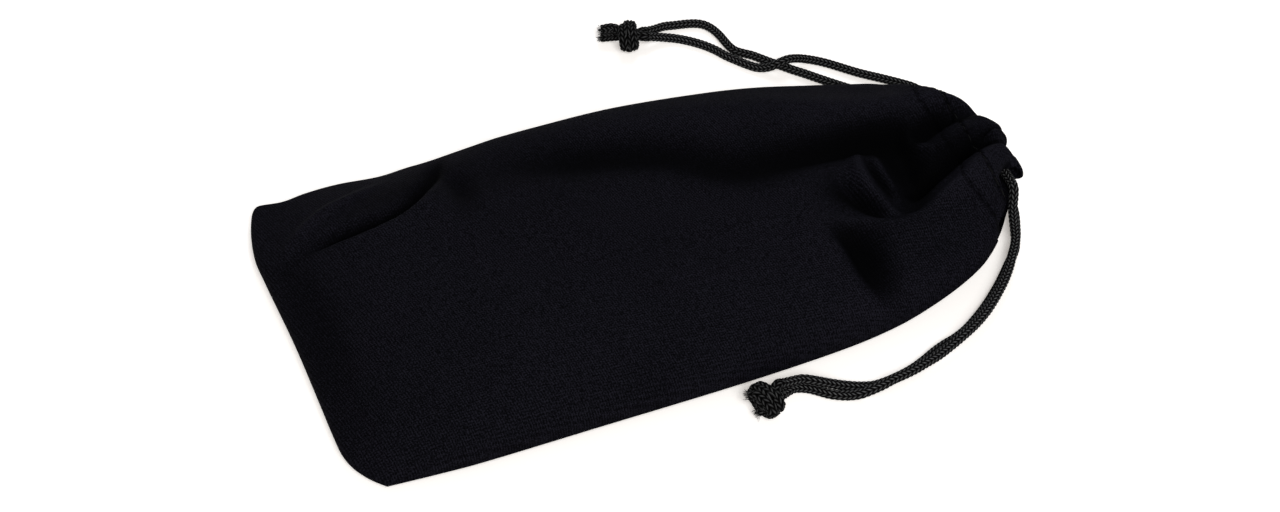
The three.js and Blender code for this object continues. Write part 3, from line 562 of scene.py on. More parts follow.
# %% Side seams and the closed end
LENGTH, WIDTH = 178.8 * MM, 91.9 * MM
MOUTH_X, BOTTOM_X = LENGTH / 2, -LENGTH / 2
EDGE_Y = WIDTH / 2
CLOTH = 0.8 * MM
HEM_LENGTH, ROW_SPACING = 14 * MM, 3.4 * MM
JOINT_X = MOUTH_X - HEM_LENGTH
BODY_LENGTH = JOINT_X - BOTTOM_X
CROWN, MOUTH_CROWN = 13 * MM, 6.2 * MM
FRONT_FLOOR, BACK_ROOF = 10.5 * MM, 6.0 * MM


def back(d, y, h):
    """d mm back from the mouth. The two other measures stay as they are."""
    return (MOUTH_X / MM - d, y, h)


def up(d, y, h):
    """d mm up from the closed end. The two other measures stay as they are."""
    return (BOTTOM_X / MM + d, y, h)


def seam_table(from_end, from_mouth):
    """The measured points of a seam, as x, inset and height in metres."""
    return np.array([up(*p) for p in from_end] + [back(*p) for p in from_mouth]) * MM


near_table = seam_table(
    [
        (14.6, 0.7, 1.8), (25, 0.05, 2.5), (35, 0.05, 2.6), (62, 1.4, 2.8),
    ],
    [
        (88.4, 2.9, 2.9), (69, 4.4, 2.9), (54, 6.05, 3), (43.4, 7.95, 3.4), (35.4, 9.95, 4.4),
        (27, 12.7, 5.8), (20.8, 15.4, 7.2), (17.1, 18.1, 7.7), (13.6, 21.5, 8), (10.4, 25.3, 8),
        (7.9, 29, 8), (5.4, 32.8, 8), (2.6, 36.3, 8),
    ],
)
far_table = seam_table(
    [
        (5.2, 2.3, 2.7), (11, 2.9, 2.7), (17, 2, 2.8), (25, 1.5, 2.8), (35, 2.1, 2.9),
        (43, 1.2, 3.1), (50, 1.2, 3.3), (61, 1.6, 3.4), (72, 0.9, 3.6),
    ],
    [
        (89, 0, 3.8), (77, 0.3, 3.8), (64, 1.6, 4), (49, 3.7, 4.2), (37.5, 6.6, 4.8),
        (27.5, 9.8, 5.8), (20.5, 13, 6.9), (13.6, 18.9, 7.8), (10.4, 24.4, 8), (7.4, 28.9, 8),
        (4.9, 31.9, 8), (2.6, 34.4, 8),
    ],
)


def rising_curve(table, column):
    """A smooth function of x through one column of a table."""
    x, y = table[:, 0], table[:, column]
    k = np.arange(len(x))
    before, after = np.maximum(k - 1, 0), np.minimum(k + 1, len(x) - 1)
    slope = (y[after] - y[before]) / (x[after] - x[before])

    def at(where):
        where = np.asarray(where, float)
        i = np.searchsorted(x[1:-1], where, side="left")
        step = x[i + 1] - x[i]
        t = np.clip((where - x[i]) / step, 0, 1)
        return between(t, y[i], step * slope[i], y[i + 1], step * slope[i + 1])

    return at


near_inset, far_inset = rising_curve(near_table, 1), rising_curve(far_table, 1)
near_height, far_height = rising_curve(near_table, 2), rising_curve(far_table, 2)


def near_y(x):
    return -EDGE_Y + near_inset(x)


def far_y(x):
    return EDGE_Y - far_inset(x)


closed_end = [(14.6, 0.7), (11.6, 3.8), (9, 7.6), (7.5, 11.6), (6.6, 18), (5.9, 25)]
closed_end = [(d, -EDGE_Y / MM + y) for d, y in closed_end] + [(3.8, -1)]
far_half = [(0.9, 26.4), (0, 18.9), (0.3, 12.8), (1.2, 7.2), (2.2, 3.8), (3.3, 2.4), (5.2, 2.3)]
closed_end += [(d, EDGE_Y / MM - y) for d, y in far_half]
closed_end = smooth_line([(BOTTOM_X + d * MM, y * MM, 0) for d, y in closed_end], 0.25 * MM)

# %% [markdown]
# ## The lie of the cloth
# The empty pouch keeps the air and the folds of the last time that it was closed. Its front is a
# low crown with ridges and valleys that run out of the gathered mouth. Each fold is written as a
# line of points with a height and a width, like a stroke of a soft brush, and the strokes are added
# up. The imported part has fewer, broader and shallower folds: these were moved and deepened after it
# was packed. A second set of strokes has no shape behind it. It is painted shade and painted light on
# the nap, and was placed until the tones came near the photograph's.

# %% Folds of the front
STROKE_STEP = 1.5 * MM


def fold(left, right, place, points):
    """A stroke of the brush: its width to the left and right of the way, and its points in mm."""
    way = np.array([place(*point) for point in points], float)
    return left * MM, right * MM, smooth_line(way * MM, STROKE_STEP)


def spot(x, y, h):
    """A point that is given from the middle of the pouch."""
    return (x, y, h)


folds = [
    # Near lobe
    fold(5, 2.5, back, [
        (-2, -6.3, 2.4), (3, -6.5, 2.9), (9, -7.5, 3.3), (13, -9.5, 3.8), (17, -11.8, 4.3),
        (21, -14, 4.6), (25, -16, 4.6), (29, -18, 4.2), (33, -19.2, 3.4), (39, -19.5, 2.9),
        (45, -17.5, 3), (49, -15.8, 2.5), (52.5, -13.5, 0.9),
    ]),
    # Near valley
    fold(1.8, 1.9, back, [
        (7, -0.6, -0.4), (10, -1.8, -2.4), (14, -3.2, -3.3), (19, -5, -3.8), (24, -6.7, -4),
        (28, -8, -2),
    ]),
    # Lip valley
    fold(0.9, 0.9, back, [
        (-2, -2.6, -2.2), (3, -2.4, -2.8), (7, -2, -3), (11, -2, -2.4), (14, -2.8, -0.8),
    ]),
    # Middle lobe
    fold(2.4, 2.2, back, [
        (-2, 4.8, -1.2), (2.4, 4.8, -0.5), (5.4, 4.4, 0.3), (10, 3.4, 1.3), (14, 1.8, 1.9),
        (17.4, 1.2, 1.6), (20.5, 1.4, 0.3),
    ]),
    # Pleat
    fold(1.3, 1.3, back, [
        (-2, 0.4, 0.4), (2.4, 0.2, 1), (6, -0.6, 1.3), (9, -1.2, 0.6),
    ]),
    # Pleat crease
    fold(0.6, 0.6, back, [
        (-1, 1.8, -0.8), (1.5, 2.6, -1.4), (4, 2.2, -1.6), (7, 0.6, -1.5), (9.5, -1, -0.8),
    ]),
    # Far pocket
    fold(2.4, 3.2, back, [
        (-2, 8.4, -1.2), (1.4, 8.8, -1.5), (6.4, 10.4, -2.8), (10.4, 10.3, -4.2), (14.4, 9.2, -4.6),
        (18.4, 7.8, -3.6), (20.6, 7, -2),
    ]),
    # Far flap
    fold(1.5, 1.7, back, [
        (-2, 12.2, 1.2), (3, 12.6, 1.3), (8, 13.8, 0.9), (13, 15, 0.3),
    ]),
    # Far shoulder
    fold(4.5, 6, back, [
        (1.4, 12.6, 1.6), (6, 14.6, 2), (10, 16, 2), (16, 17.4, 2), (23, 18.8, 2), (31, 20.5, 1.9),
        (41, 23.5, 1.8), (51, 27, 1.5), (67, 31, 1.1), (84, 33, 0.5), (97, 33, 0),
    ]),
    # Between pockets
    fold(1.7, 1.7, back, [
        (21.6, 12, 1), (22.2, 8, 2), (22, 4, 1.8), (21, 2, 0.8),
    ]),
    # Hollow
    fold(4, 5.6, back, [
        (25.4, 8, -3.4), (26.4, 3, -5), (27, -2, -5.4), (27, -6, -4.6), (29, -10, -3.6),
        (31.4, -13.5, -2.4),
    ]),
    # Hollow tail
    fold(3.4, 5, back, [
        (23.4, 9, -2), (28.4, 9.3, -3.8), (33.4, 9.2, -4.8), (38.4, 9.2, -4.6), (43.4, 9, -4),
        (48.4, 8.8, -3.2), (53.4, 8.8, -2), (58, 9, -0.6),
    ]),
    # Long valley
    fold(6.5, 7, back, [
        (43, 9.6, -0.4), (50, 9.2, -1.2), (56, 8.8, -2.2), (62, 8.5, -2.8), (66, 9.2, -2.8),
        (70, 11.2, -2.6), (74, 13.6, -2.4), (78, 16.8, -2.4), (82, 19, -2.4), (88, 21.2, -2.6),
        (95, 23, -2.6), (101, 24, -2.6), (107, 25.2, -2), (114, 26.4, -1.4), (121, 27, -0.9),
        (128, 27, -0.2),
    ]),
    # Near dip
    fold(4.5, 4.5, back, [
        (18, -18, -0.3), (24, -22, -1.2), (32, -27, -1.3), (38, -30, -0.4),
    ]),
    # Arc
    fold(1.7, 1.7, back, [
        (36.9, 5.5, 0.4), (38.4, 3, 1.7), (39.4, 0, 2.4), (39.7, -4, 2.6), (39.4, -8, 2.4),
        (38.1, -11.5, 2.2), (35.9, -15, 1.5), (33.9, -17.5, 0.4),
    ]),
    # Inner arc
    fold(1.1, 1.1, back, [
        (33.9, 5.5, 0.3), (33.4, 2, 1), (33.5, -1.8, 1.1), (33.3, -6.2, 1), (32.9, -10, 0.6),
    ]),
    # Arc groove
    fold(1.1, 1.1, back, [
        (35.9, 4, -0.4), (36.1, 0, -1.5), (35.6, -4, -1.6), (34.8, -8.5, -0.9),
    ]),
    # Side pocket
    fold(2.2, 2.4, back, [
        (44.9, 1, -0.6), (44.6, -3, -1.9), (43.4, -7, -3), (41.4, -10.8, -3.3), (38.8, -13.6, -2.4),
        (36.9, -15.5, -0.8),
    ]),
    # Low dent
    fold(5.5, 2.6, back, [
        (51.8, -17, -2), (49.4, -20.5, -4), (48.6, -25, -4.2), (47.9, -29.5, -3.2),
        (46, -33.5, -1.3),
    ]),
    # Corner crease
    fold(2.4, 1.4, up, [
        (12, 19.4, -1), (16, 19.1, -2.4), (19.7, 18.8, -3.6), (24.5, 18.8, -4.4),
        (29.5, 19.5, -4.8), (34, 20.8, -4.8), (38, 23.4, -4.4), (41, 26.8, -3.6),
        (43.6, 30.6, -2.8), (45.8, 34.6, -2), (47.4, 38.2, -1), (48.4, 40.5, -0.3),
    ]),
    # Corner edge
    fold(1.6, 4.5, up, [
        (17, 15.5, 0.4), (27, 18, 0.8), (34, 20, 1), (40.5, 24, 1), (46, 30, 0.7), (50, 34, 0.2),
    ]),
    # Flap ridge
    fold(1.6, 1.6, up, [
        (5, 21.5, 0.4), (9, 24.5, 1.1), (14, 28, 1.4), (19, 31, 1.6), (24, 33, 1.5),
        (29, 35.3, 1.1), (33, 37, 0.3),
    ]),
    # Corner dent
    fold(3.5, 3.5, up, [
        (46, 35, -1), (48.2, 29, -1.8), (49.5, 23, -2), (50, 18, -1.1), (50, 14, -0.3),
    ]),
    # End dent
    fold(4, 4, up, [
        (7.4, 15.7, -0.9), (9.4, 5.4, -1.3), (10.5, -5.9, -1.4), (11.2, -15.4, -1.2),
        (11.8, -24.7, -0.8), (11, -32, -0.4),
    ]),
]

# %% [markdown]
# The heights of these strokes are not heights of the cloth. They are painted shade where they are
# negative and painted light where they are positive: the nap looks as dark, or as bright, as if the
# cloth were lifted by that much.

# %% Shading of the front
shades = [
    # Valley shade
    fold(4.5, 5, spot, [
        (-27, 26.8, -0.2), (-16, 25.2, -1), (-6, 23, -1.6), (3, 20, -1.7), (10, 17, -1.7),
        (15.5, 13.2, -1.7), (21, 10.2, -1.7), (28, 8.6, -1.8), (35.5, 9, -2.2), (43.5, 9.8, -3),
        (51.5, 10.8, -4), (60, 11, -4.5), (67, 10.8, -3), (70.5, 10.6, -1),
    ]),
    # Mouth shade
    fold(5, 2.8, spot, [
        (56, 8, -2), (60, 5, -3.5), (63, 0, -4), (66, -3.4, -4.5), (71, -2.6, -4.5), (76, -1.8, -4),
        (81, -0.6, -2.6),
    ]),
    # Upper shade
    fold(2, 1.6, spot, [
        (68.5, 7, -1.6), (71, 9.6, -3.2), (75.6, 10, -3.4), (79, 7.6, -3), (84, 7.4, -1.6),
    ]),
    # Slot shade
    fold(1.2, 1.2, spot, [
        (53.6, 2, -1.4), (54, -2, -2.6), (54.4, -6.4, -2.6), (55.6, -9, -1),
    ]),
    # Left shade
    fold(2.6, 2.8, spot, [
        (40.5, -4, -1), (42.6, -7, -3), (45.4, -9.6, -3.6), (49, -12.2, -2),
    ]),
    # Painted light on the rim
    fold(1.4, 1.6, spot, [
        (38.6, -12.6, 0.4), (40, -13.8, 1.2), (43, -15.6, 1.3), (48, -15.8, 0.9), (53, -14.4, 0.5),
    ]),
    # Low shade
    fold(5.5, 1.6, spot, [
        (38.4, -17.4, -1.6), (39.4, -20.4, -4), (40.8, -23.6, -4.4), (41.4, -27, -3.6),
        (41.6, -31, -1.8), (41.2, -34.5, -0.4),
    ]),
    # Lobe shade
    fold(4, 4, spot, [
        (48, -21, -1.4), (58, -19, -1.9), (68, -16, -1.2),
    ]),
    # Crease shade
    fold(1.5, 1.1, up, [
        (15, 19.2, -0.4), (19, 18.8, -2.8), (24.5, 18.7, -5), (31, 19.8, -5.2), (36.5, 22.2, -4.2),
        (41.3, 27.2, -2.8), (45, 33.5, -1.8), (47.5, 38.5, -1),
    ]),
    # Flap shade
    fold(5, 5, up, [
        (22, 25, -0.3), (30, 28, -1), (37, 31, -1.2), (43, 35, -0.9),
    ]),
    # End shade
    fold(5, 5, up, [
        (5, 18, -0.3), (6, 2, -0.5), (7, -18, -0.4), (7, -34, -0.2),
    ]),
    # Painted light along the near edge
    fold(5, 5, spot, [
        (-14, -44.5, 0), (12, -43.5, 0.4), (30, -41, 0.8), (42, -37.5, 1), (55, -31, 0.7),
        (66, -24, 0.3),
    ]),
]


def fold_height(left, right, points, x, y):
    """Height of one stroke at points of the plan."""
    lift = np.zeros(np.shape(x))
    for a, b in zip(points, points[1:]):
        way = (b - a)[:2]
        ahead = way / np.hypot(*way)
        t = np.clip(((x - a[0]) * way[0] + (y - a[1]) * way[1]) / way.dot(way), 0, 1)
        across, on = x - a[0] - t * way[0], y - a[1] - t * way[1]
        d = np.hypot(across, on)
        to_left = (ahead[0] * on - ahead[1] * across) / np.maximum(d, 1e-9)
        width = mix(right, left, 0.5 + 0.5 * to_left)
        here = (a[2] + (b[2] - a[2]) * t) * np.exp(-((d / width) ** 2))
        lift = np.where(np.abs(here) > np.abs(lift), here, lift)
    return lift


def all_folds(x, y):
    return sum(fold_height(left, right, points, x, y) for left, right, points in folds)


# %% [markdown]
# The base of the shape is a rounded section from seam to seam. It rises from the closed end over
# the first few centimetres, and it is lifted at the mouth, where the front hem stands on the back.

# %% Height of the two cloths
NECK, SLIT = 62 * MM, 20.5 * MM
END_RISE, FOLD_END = 52 * MM, 12 * MM
LOWER_ROW, UPPER_ROW = 75.3 * MM, 80 * MM
LOWER_PULL, UPPER_PULL = 0.75, 0.4
PULL_FROM = 14 * MM
ROW_WIDTH, ROW_DEPTH = 0.4 * MM, 0.6 * MM
PUCKER_WIDTH, PUCKER_HEIGHT = 2 * MM, 0.12 * MM
ROW_SHADE, RIDGE_PAINTED_LIGHT = 5, 0.4


def smooth(t):
    t = np.clip(t, 0, 1)
    return t * t * (3 - 2 * t)


def neck(x):
    return smooth((x - (MOUTH_X - NECK)) / (NECK - HEM_LENGTH / 2))


def slit(x):
    return smooth((x - (MOUTH_X - SLIT)) / (SLIT - HEM_LENGTH * 0.8))


def seam_height(x, v):
    return mix(near_height(x), far_height(x), (v + 1) / 2)


def bump_at(x, centre, width):
    return np.exp(-(((x - centre) / width) ** 2))


def fold_share(shape, inland):
    """The folds die out towards the seams and the closed end."""
    return smooth(shape / 0.92) * smooth(inland / FOLD_END)


def front_lie(x, y, v, inland):
    """Middle of the front cloth above a point of the plan, before the rows are sewn."""
    end = np.sqrt(1 - (1 - np.minimum(inland / END_RISE, 1)) ** 2.1)
    end = end * (1 - 0.35 * bump_at(inland, 0, 9 * MM))
    crown = mix(CROWN, MOUTH_CROWN, neck(x))
    boxy = smooth((x - JOINT_X) / ROW_SPACING)
    power = mix(np.where(v < 0, 3.3, 2.6), np.where(v < 0, 5, 3.6), boxy)
    rounded = np.sqrt(np.maximum(1 - np.abs(v) ** power, 0))
    flat_rim = smooth((v - 0.3) / 0.3) * smooth((BOTTOM_X + 53 * MM - x) / (22 * MM) + 0.5)
    shape = mix(rounded, rounded**2.2, flat_rim)
    edge = mix(seam_height(x, v) + CLOTH, FRONT_FLOOR + CLOTH / 2, slit(x))
    return edge + crown * shape * end + all_folds(x, y) * fold_share(shape, inland)


def drawn_back(lie, pull):
    """How far a row is drawn back where the cloth climbs a lobe. It is straight on flat cloth."""
    return pull * np.maximum(lie - PULL_FROM, 0)


def sewn_in(x, y, lie):
    """How far the stitches and the gathers pull the cloth down or push it up."""
    lower, upper = x + drawn_back(lie, LOWER_PULL), x + drawn_back(lie, UPPER_PULL)
    grooves = bump_at(lower, LOWER_ROW, ROW_WIDTH) + bump_at(upper, UPPER_ROW, ROW_WIDTH)
    pucker = np.sin(2 * np.pi * y / (2.7 * MM) + 1.5 * np.sin(y / (3.1 * MM)))
    beside = bump_at(lower, LOWER_ROW, PUCKER_WIDTH) + bump_at(upper, UPPER_ROW, PUCKER_WIDTH)
    return -ROW_DEPTH * grooves + PUCKER_HEIGHT * pucker * beside


def front_height(x, y, v, inland):
    lie = front_lie(x, y, v, inland)
    return lie + sewn_in(x, y, lie)


def painted_light_and_shade(points):
    """In mm, painted shade and light at each point: the depth of folds and rows, with the shading
    strokes added.
    """
    x, y, z = points.T
    shade = sum(fold_height(left, right, points, x, y) for left, right, points in shades)
    bent = all_folds(x, y)
    # Raised folds get painted light, at a smaller rate than the painted shade of sunken ones.
    bent = np.where(bent > 0, RIDGE_PAINTED_LIGHT * bent, bent)
    # The grooves of the stitch rows get extra painted shade.
    return (bent + shade + ROW_SHADE * np.minimum(sewn_in(x, y, z), 0)) / MM


def back_height(x, v, inland):
    """Middle of the back cloth: flat on the table, rising to the seams."""
    past = np.maximum(np.abs(v) - 0.7, 0) / 0.3
    side = smooth(past) * 0.5 + 0.5 * past**2
    end = (1 - np.minimum(inland / (10 * MM), 1)) ** 2
    return CLOTH / 2 + (seam_height(x, v) - CLOTH / 2) * np.maximum(side, end)


# %% [markdown]
# ## The plan and the thickness of a cloth
# A panel is a grid of points: one way runs from the closed end to the hem, the other from the near
# seam to the far one. The grid follows both seams and the closed end. Cloth has a thickness and a
# soft folded rim, so the grid is laid twice, above and below its middle, and a half-round rim joins
# the two layers.

# %% From the plan to a sheet of cloth
def plan_point(u, v):
    """Place in the plan: u from the closed end to the hem, v from the near seam to the far one."""
    grow = -CLOTH / 2
    t = (v + 1) / 2
    share = np.linspace(0, 1, len(closed_end))
    end_x, end_y = np.interp(t, share, closed_end[:, 0]), np.interp(t, share, closed_end[:, 1])
    near_x, far_x = mix(near_table[0, 0], JOINT_X, u), mix(far_table[0, 0], JOINT_X, u)
    joint = mix(near_y(JOINT_X), far_y(JOINT_X), t)
    first, last = closed_end[0], closed_end[-1]
    x = mix(near_x, far_x, t) + mix(end_x, JOINT_X, u) - mix(mix(first[0], last[0], t), JOINT_X, u)
    y = (
        mix(near_y(near_x), far_y(far_x), t)
        + mix(end_y, joint, u)
        - mix(mix(first[1], last[1], t), joint, u)
    )
    return x - grow * (1 - u) ** 12, y + np.sign(v) * np.abs(v) ** 8 * grow


def grid_normals(grid):
    return unit(np.cross(np.gradient(grid, axis=0), np.gradient(grid, axis=1)))


def rim_of(grid):
    """The outer points of a grid, once round."""
    return np.concatenate([grid[0, :-1], grid[:-1, -1], grid[-1, :0:-1], grid[:0:-1, 0]])


def thick_cloth(middle, thickness):
    """A closed sheet round its middle surface, with a rounded rim."""
    rows, columns = middle.shape[:2]
    normal = grid_normals(middle)
    half = thickness / 2
    edge, edge_normal = rim_of(middle), rim_of(normal)
    along_edge = unit(np.roll(edge, -1, axis=0) - np.roll(edge, 1, axis=0))
    outward = unit(np.cross(edge_normal, along_edge))
    count = len(edge)
    index = rim_of(np.arange(rows * columns).reshape(rows, columns, 1))[:, 0]
    points = [(middle + normal * half).reshape(-1, 3), (middle - normal * half).reshape(-1, 3)]
    rings = [index]
    start = 2 * rows * columns
    for angle in np.radians((60, 30, 0, -30, -60)):
        points.append(edge + half * (math.cos(angle) * outward + math.sin(angle) * edge_normal))
        rings.append(start + np.arange(count))
        start += count
    rings.append(index + rows * columns)
    faces = [grid_faces(rows, columns), grid_faces(rows, columns, rows * columns)[:, ::-1]]
    for upper, lower in zip(rings, rings[1:]):
        faces.append(np.column_stack([upper, np.roll(upper, -1), np.roll(lower, -1), lower]))
    return np.vstack(points), np.vstack(faces)


# %% [markdown]
# ## The finish of the cloth
# The cloth is a fine warp knit with a brushed face. From close by it shows slanted rows of tiny
# loops about half a millimetre apart, broken up by the fuzz of the nap. The colour is nearly black
# and the knit only lifts it by specks. The amount stored on each point adds up its depth in the
# folds and the shading strokes, and every millimetre of it takes a third of the brightness away.
# This is painted shade in the folds, the stitch grooves and the dark strokes, and painted light on
# the ridges and the light strokes, and it stays there under other lamps.

# %% Knit finish
RIB, LOOP = 0.6 * MM, 0.55 * MM
KNIT_DARK = (0.0005, 0.0005, 0.0007, 1)
KNIT_LIGHT = (0.0108, 0.0103, 0.0153, 1)


def make_knit_finish():
    g = Graph("knit")
    place = g.node("ShaderNodeTexCoord").outputs["Object"]
    painted_light_shade_mm = g.node("ShaderNodeAttribute", attribute_name="painted_light_shade_mm").outputs["Fac"]
    split = g.node("ShaderNodeSeparateXYZ", {"Vector": place})
    wobble = g.node("ShaderNodeTexNoise", {"Vector": place, "Scale": 700.0, "Detail": 2.0})
    slanted = g.math("MULTIPLY_ADD", split.outputs[1], 0.3, split.outputs[0])
    ribs = g.math("MULTIPLY", slanted, 2 * math.pi / RIB)
    ribs = g.math("SINE", g.math("MULTIPLY_ADD", wobble.outputs[0], 3.0, ribs))
    loops = g.math("MULTIPLY", split.outputs[1], 2 * math.pi / LOOP)
    loops = g.math("SINE", g.math("MULTIPLY_ADD", wobble.outputs[0], 5.0, loops))
    knit = g.math("MULTIPLY_ADD", ribs, 0.24, g.math("MULTIPLY_ADD", loops, 0.14, 0.5))
    fuzz = g.node("ShaderNodeTexNoise", {"Vector": place, "Scale": 3200.0, "Detail": 3.0})
    fuzz = g.node(
        "ShaderNodeMapRange", {"Value": fuzz.outputs[0], "From Min": 0.42, "From Max": 0.68}
    )
    cloud = g.node("ShaderNodeTexNoise", {"Vector": place, "Scale": 45.0, "Detail": 3.0})
    specks = g.math("MULTIPLY", knit, g.math("MULTIPLY_ADD", fuzz.outputs[0], 1.9, 0.25))
    # Painted shade and light: a third darker for each millimetre, up to half again as bright.
    painted_light_shade_factor = g.math("MINIMUM", g.math("POWER", 1.55, painted_light_shade_mm), 1.5)
    patchy = g.math("MULTIPLY_ADD", cloud.outputs[0], 0.5, 0.75)
    specks = g.math("MULTIPLY", specks, g.math("MULTIPLY", painted_light_shade_factor, patchy))
    height = g.math("ADD", g.math("MULTIPLY", knit, 0.7), g.math("MULTIPLY", fuzz.outputs[0], 0.6))
    bump = g.node("ShaderNodeBump", {"Height": height, "Strength": 0.5, "Distance": 0.00015})
    return g.finish(
        Base_Color=g.mix_colour(specks, KNIT_DARK, KNIT_LIGHT),
        Roughness=0.85,
        Specular_IOR_Level=0.02,
        Normal=bump.outputs[0],
    )


knit = make_knit_finish()

# %% [markdown]
# ## The front panel
# The front is cut as one oblong and sewn to the back along both sides and the closed end, then the
# bag is turned right side out. Its rim is therefore a soft fold that rests on the back's rim, and
# the seam is the groove between the two.

# %% Lay the front panel
def keep_painted_shade(piece, depth):
    """Stores the painted shade and light of each point of a cloth, which the knit finish reads."""
    layer = piece.data.attributes.new("painted_light_shade_mm", "FLOAT", "POINT")
    layer.data.foreach_set("value", np.asarray(depth, float))


def panel(rows, columns, height):
    u, s = np.meshgrid(np.linspace(0, 1, rows), np.linspace(-1, 1, columns), indexing="ij")
    v = 0.55 * np.sin(np.pi / 2 * s) + 0.45 * s
    x, y = plan_point(u, v)
    return np.stack([x, y, height(x, y, v, u * BODY_LENGTH)], axis=-1)


front_middle = panel(330, 190, front_height)
points, faces = thick_cloth(front_middle, CLOTH)
front_cloth = new_piece("front_cloth", points, faces, knit, "pouch")
keep_painted_shade(front_cloth, painted_light_and_shade(points))
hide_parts("front_panel")

# %% [markdown]
# The back is the same cut. It lies flat on the table and only its sides rise to the seams.

# %% Lay the back panel
back_middle = panel(220, 130, lambda x, y, v, inland: back_height(x, v, inland))
points, faces = thick_cloth(back_middle, CLOTH)
back_cloth = new_piece("back_cloth", points, faces, knit, "pouch")
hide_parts("back_panel")

# %% [markdown]
# ## The hems
# At the mouth each cloth is folded inward and sewn down with two rows of stitches, the lower one on
# the folded edge and the upper one where the casing for the cords begins. So a hem is a flat tube
# of cloth: an outer skin, a rounded lip, an inner skin, and a channel that is open at both ends.
# The drawn cord bunches the tube into a few deep lobes.

# %% Sections of a hem
lip_back = [(-1, 2), (-0.94, 1.1), (-0.87, 1.5), (-0.78, 2.3), (-0.62, 2.8), (-0.45, 3)]
lip_back += [(-0.3, 2.7), (-0.22, 1.6), (-0.16, 1.9), (-0.1, 0.7), (-0.05, 1.3), (0, 0.7)]
lip_back += [(0.05, 1.5), (0.1, 1.2), (0.2, 0.4), (0.35, 0), (0.5, 0.9)]
lip_back += [(0.62, 2.2), (0.72, 2.8), (0.82, 3), (0.92, 3.8), (1, 5.4)]
front_lip = rising_curve(np.array([(v, MOUTH_X - d * MM) for v, d in lip_back]), 1)
CORDS_FROM, CORDS_TO, CORDS_TOP = 77.6 * MM, 87.3 * MM, 14.9 * MM
GAPE_X, SHUT_X = 80.5 * MM, 88.5 * MM
FRONT_TURN, BACK_TURN, INNER_TURN = 4.4 * MM, 3.2 * MM, 2.2 * MM
FRONT_BELLY, BACK_BELLY = 0.32, 0.5


def front_hem_top(x, y, v):
    top = front_height(x, y, v, BODY_LENGTH) + CLOTH / 2
    cords = smooth((x - CORDS_FROM) / (2 * MM)) * smooth((CORDS_TO - x) / (2 * MM))
    cover = mix(FRONT_FLOOR + CLOTH, CORDS_TOP, cords)
    return np.where(cords > 0, np.maximum(top, cover), top)


def front_hem_floor(x, y, v):
    sewn = front_hem_top(x, y, v) - 2 * CLOTH
    wave = 0.25 * MM * np.sin(y / (1.9 * MM)) * bump_at(x, MOUTH_X, 8 * MM)
    floor = mix(sewn, FRONT_FLOOR + wave, smooth((x - UPPER_ROW) / (1.4 * MM)))
    return np.maximum(floor, FRONT_FLOOR)


def hem_sections(lip, v, top, floor, turn, belly, wall=0.0, gape=0.0):
    """Closed sections of a hem, one for each v: over the skin, round the lip and back inside."""
    v = v[:, None]
    start = JOINT_X - 0.5 * MM if wall == 0 else UPPER_ROW + 0.7 * MM
    end = lip(v) - wall
    bend = lip(v) - turn

    def spots(x, level):
        y = mix(near_y(x), far_y(x), (v + 1) / 2)
        low, high = floor(x, y, v) + wall, top(x, y, v) - wall
        open_hem = bump_at(x, GAPE_X, 4.5 * MM) * smooth(level)
        near_end = np.exp(-(v + 1) / 0.14)
        y = y + gape * near_end * (open_hem - 0.2 * bump_at(x, SHUT_X, 2 * MM))
        high = np.maximum(high, low + 0.1 * MM)
        middle = mix(low, high, belly)
        z = np.where(level >= 0, mix(middle, high, level), mix(middle, low, -level))
        return np.stack([x, y, z], axis=-1)

    one = np.ones_like(v)
    skin = spots(mix(start * one, bend, np.linspace(0, 1, 40)[None, :]), np.ones((1, 40)))
    angle = np.linspace(0, np.pi / 2, 15)[None, 1:]
    over = spots(mix(bend, end, np.sin(angle)), np.cos(angle) * one)
    angle = np.linspace(0, np.pi / 2, 9)[None, 1:]
    back_in = end - INNER_TURN * (1 - np.cos(angle))
    under = spots(back_in, -np.sin(angle) * one)
    way_in = mix(back_in[:, -1:], start * one, np.linspace(0, 1, 24)[None, 1:])
    return np.concatenate([skin, over, under, spots(way_in, -np.ones((1, 23)))], axis=1)


def tube_of_cloth(*facts, **more):
    """A thick-walled hem, open at both ends, from its outer and its inner sections."""
    outer, inner = hem_sections(*facts, **more), hem_sections(*facts, wall=CLOTH, **more)
    n, m = outer.shape[:2]
    points = np.vstack([outer.reshape(-1, 3), inner.reshape(-1, 3)])
    k, past, far = np.arange(m), n * m, (n - 1) * m
    after = (k + 1) % m
    near_rim = np.column_stack([k, after, past + after, past + k])
    far_rim = np.column_stack([far + after, far + k, past + far + k, past + far + after])
    outside = grid_faces(n, m, closed=True)[:, ::-1]
    inside = grid_faces(n, m, past, closed=True)
    return points, np.vstack([outside, inside, near_rim[:, ::-1], far_rim[:, ::-1]])


# %% [markdown]
# The front hem stands on its lobes above the slot of the mouth. Its near end gapes where the cord
# leaves it. The inside of its cloth gets one even amount of painted shade.

# %% Sew the front hem
GAPE = 9.5 * MM
INSIDE_SHADE = -1.5
v = np.linspace(-0.955, 0.975, 260)
points, faces = tube_of_cloth(
    front_lip, v, front_hem_top, front_hem_floor, FRONT_TURN, FRONT_BELLY, gape=GAPE
)
front_hem = new_piece("front_hem_casing", points, faces, knit, "pouch")
depth = painted_light_and_shade(points)
# The inside of the hem gets one even amount of painted shade.
depth[len(points) // 2 :] = INSIDE_SHADE
keep_painted_shade(front_hem, depth)
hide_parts("front_hem")

# %% [markdown]
# The back hem lies on the table under it. Its ends rise to the side seams. In most places its lip
# stands a little further out than the front's, with small bulges of its own.

# %% Sew the back hem
def back_lip(v):
    bulges = 0.45 * MM * np.sin(11.0 * v + 0.8) + 0.25 * MM * np.sin(23.0 * v)
    return MOUTH_X - 0.6 * MM - 1.2 * MM * np.abs(v) ** 4 + bulges


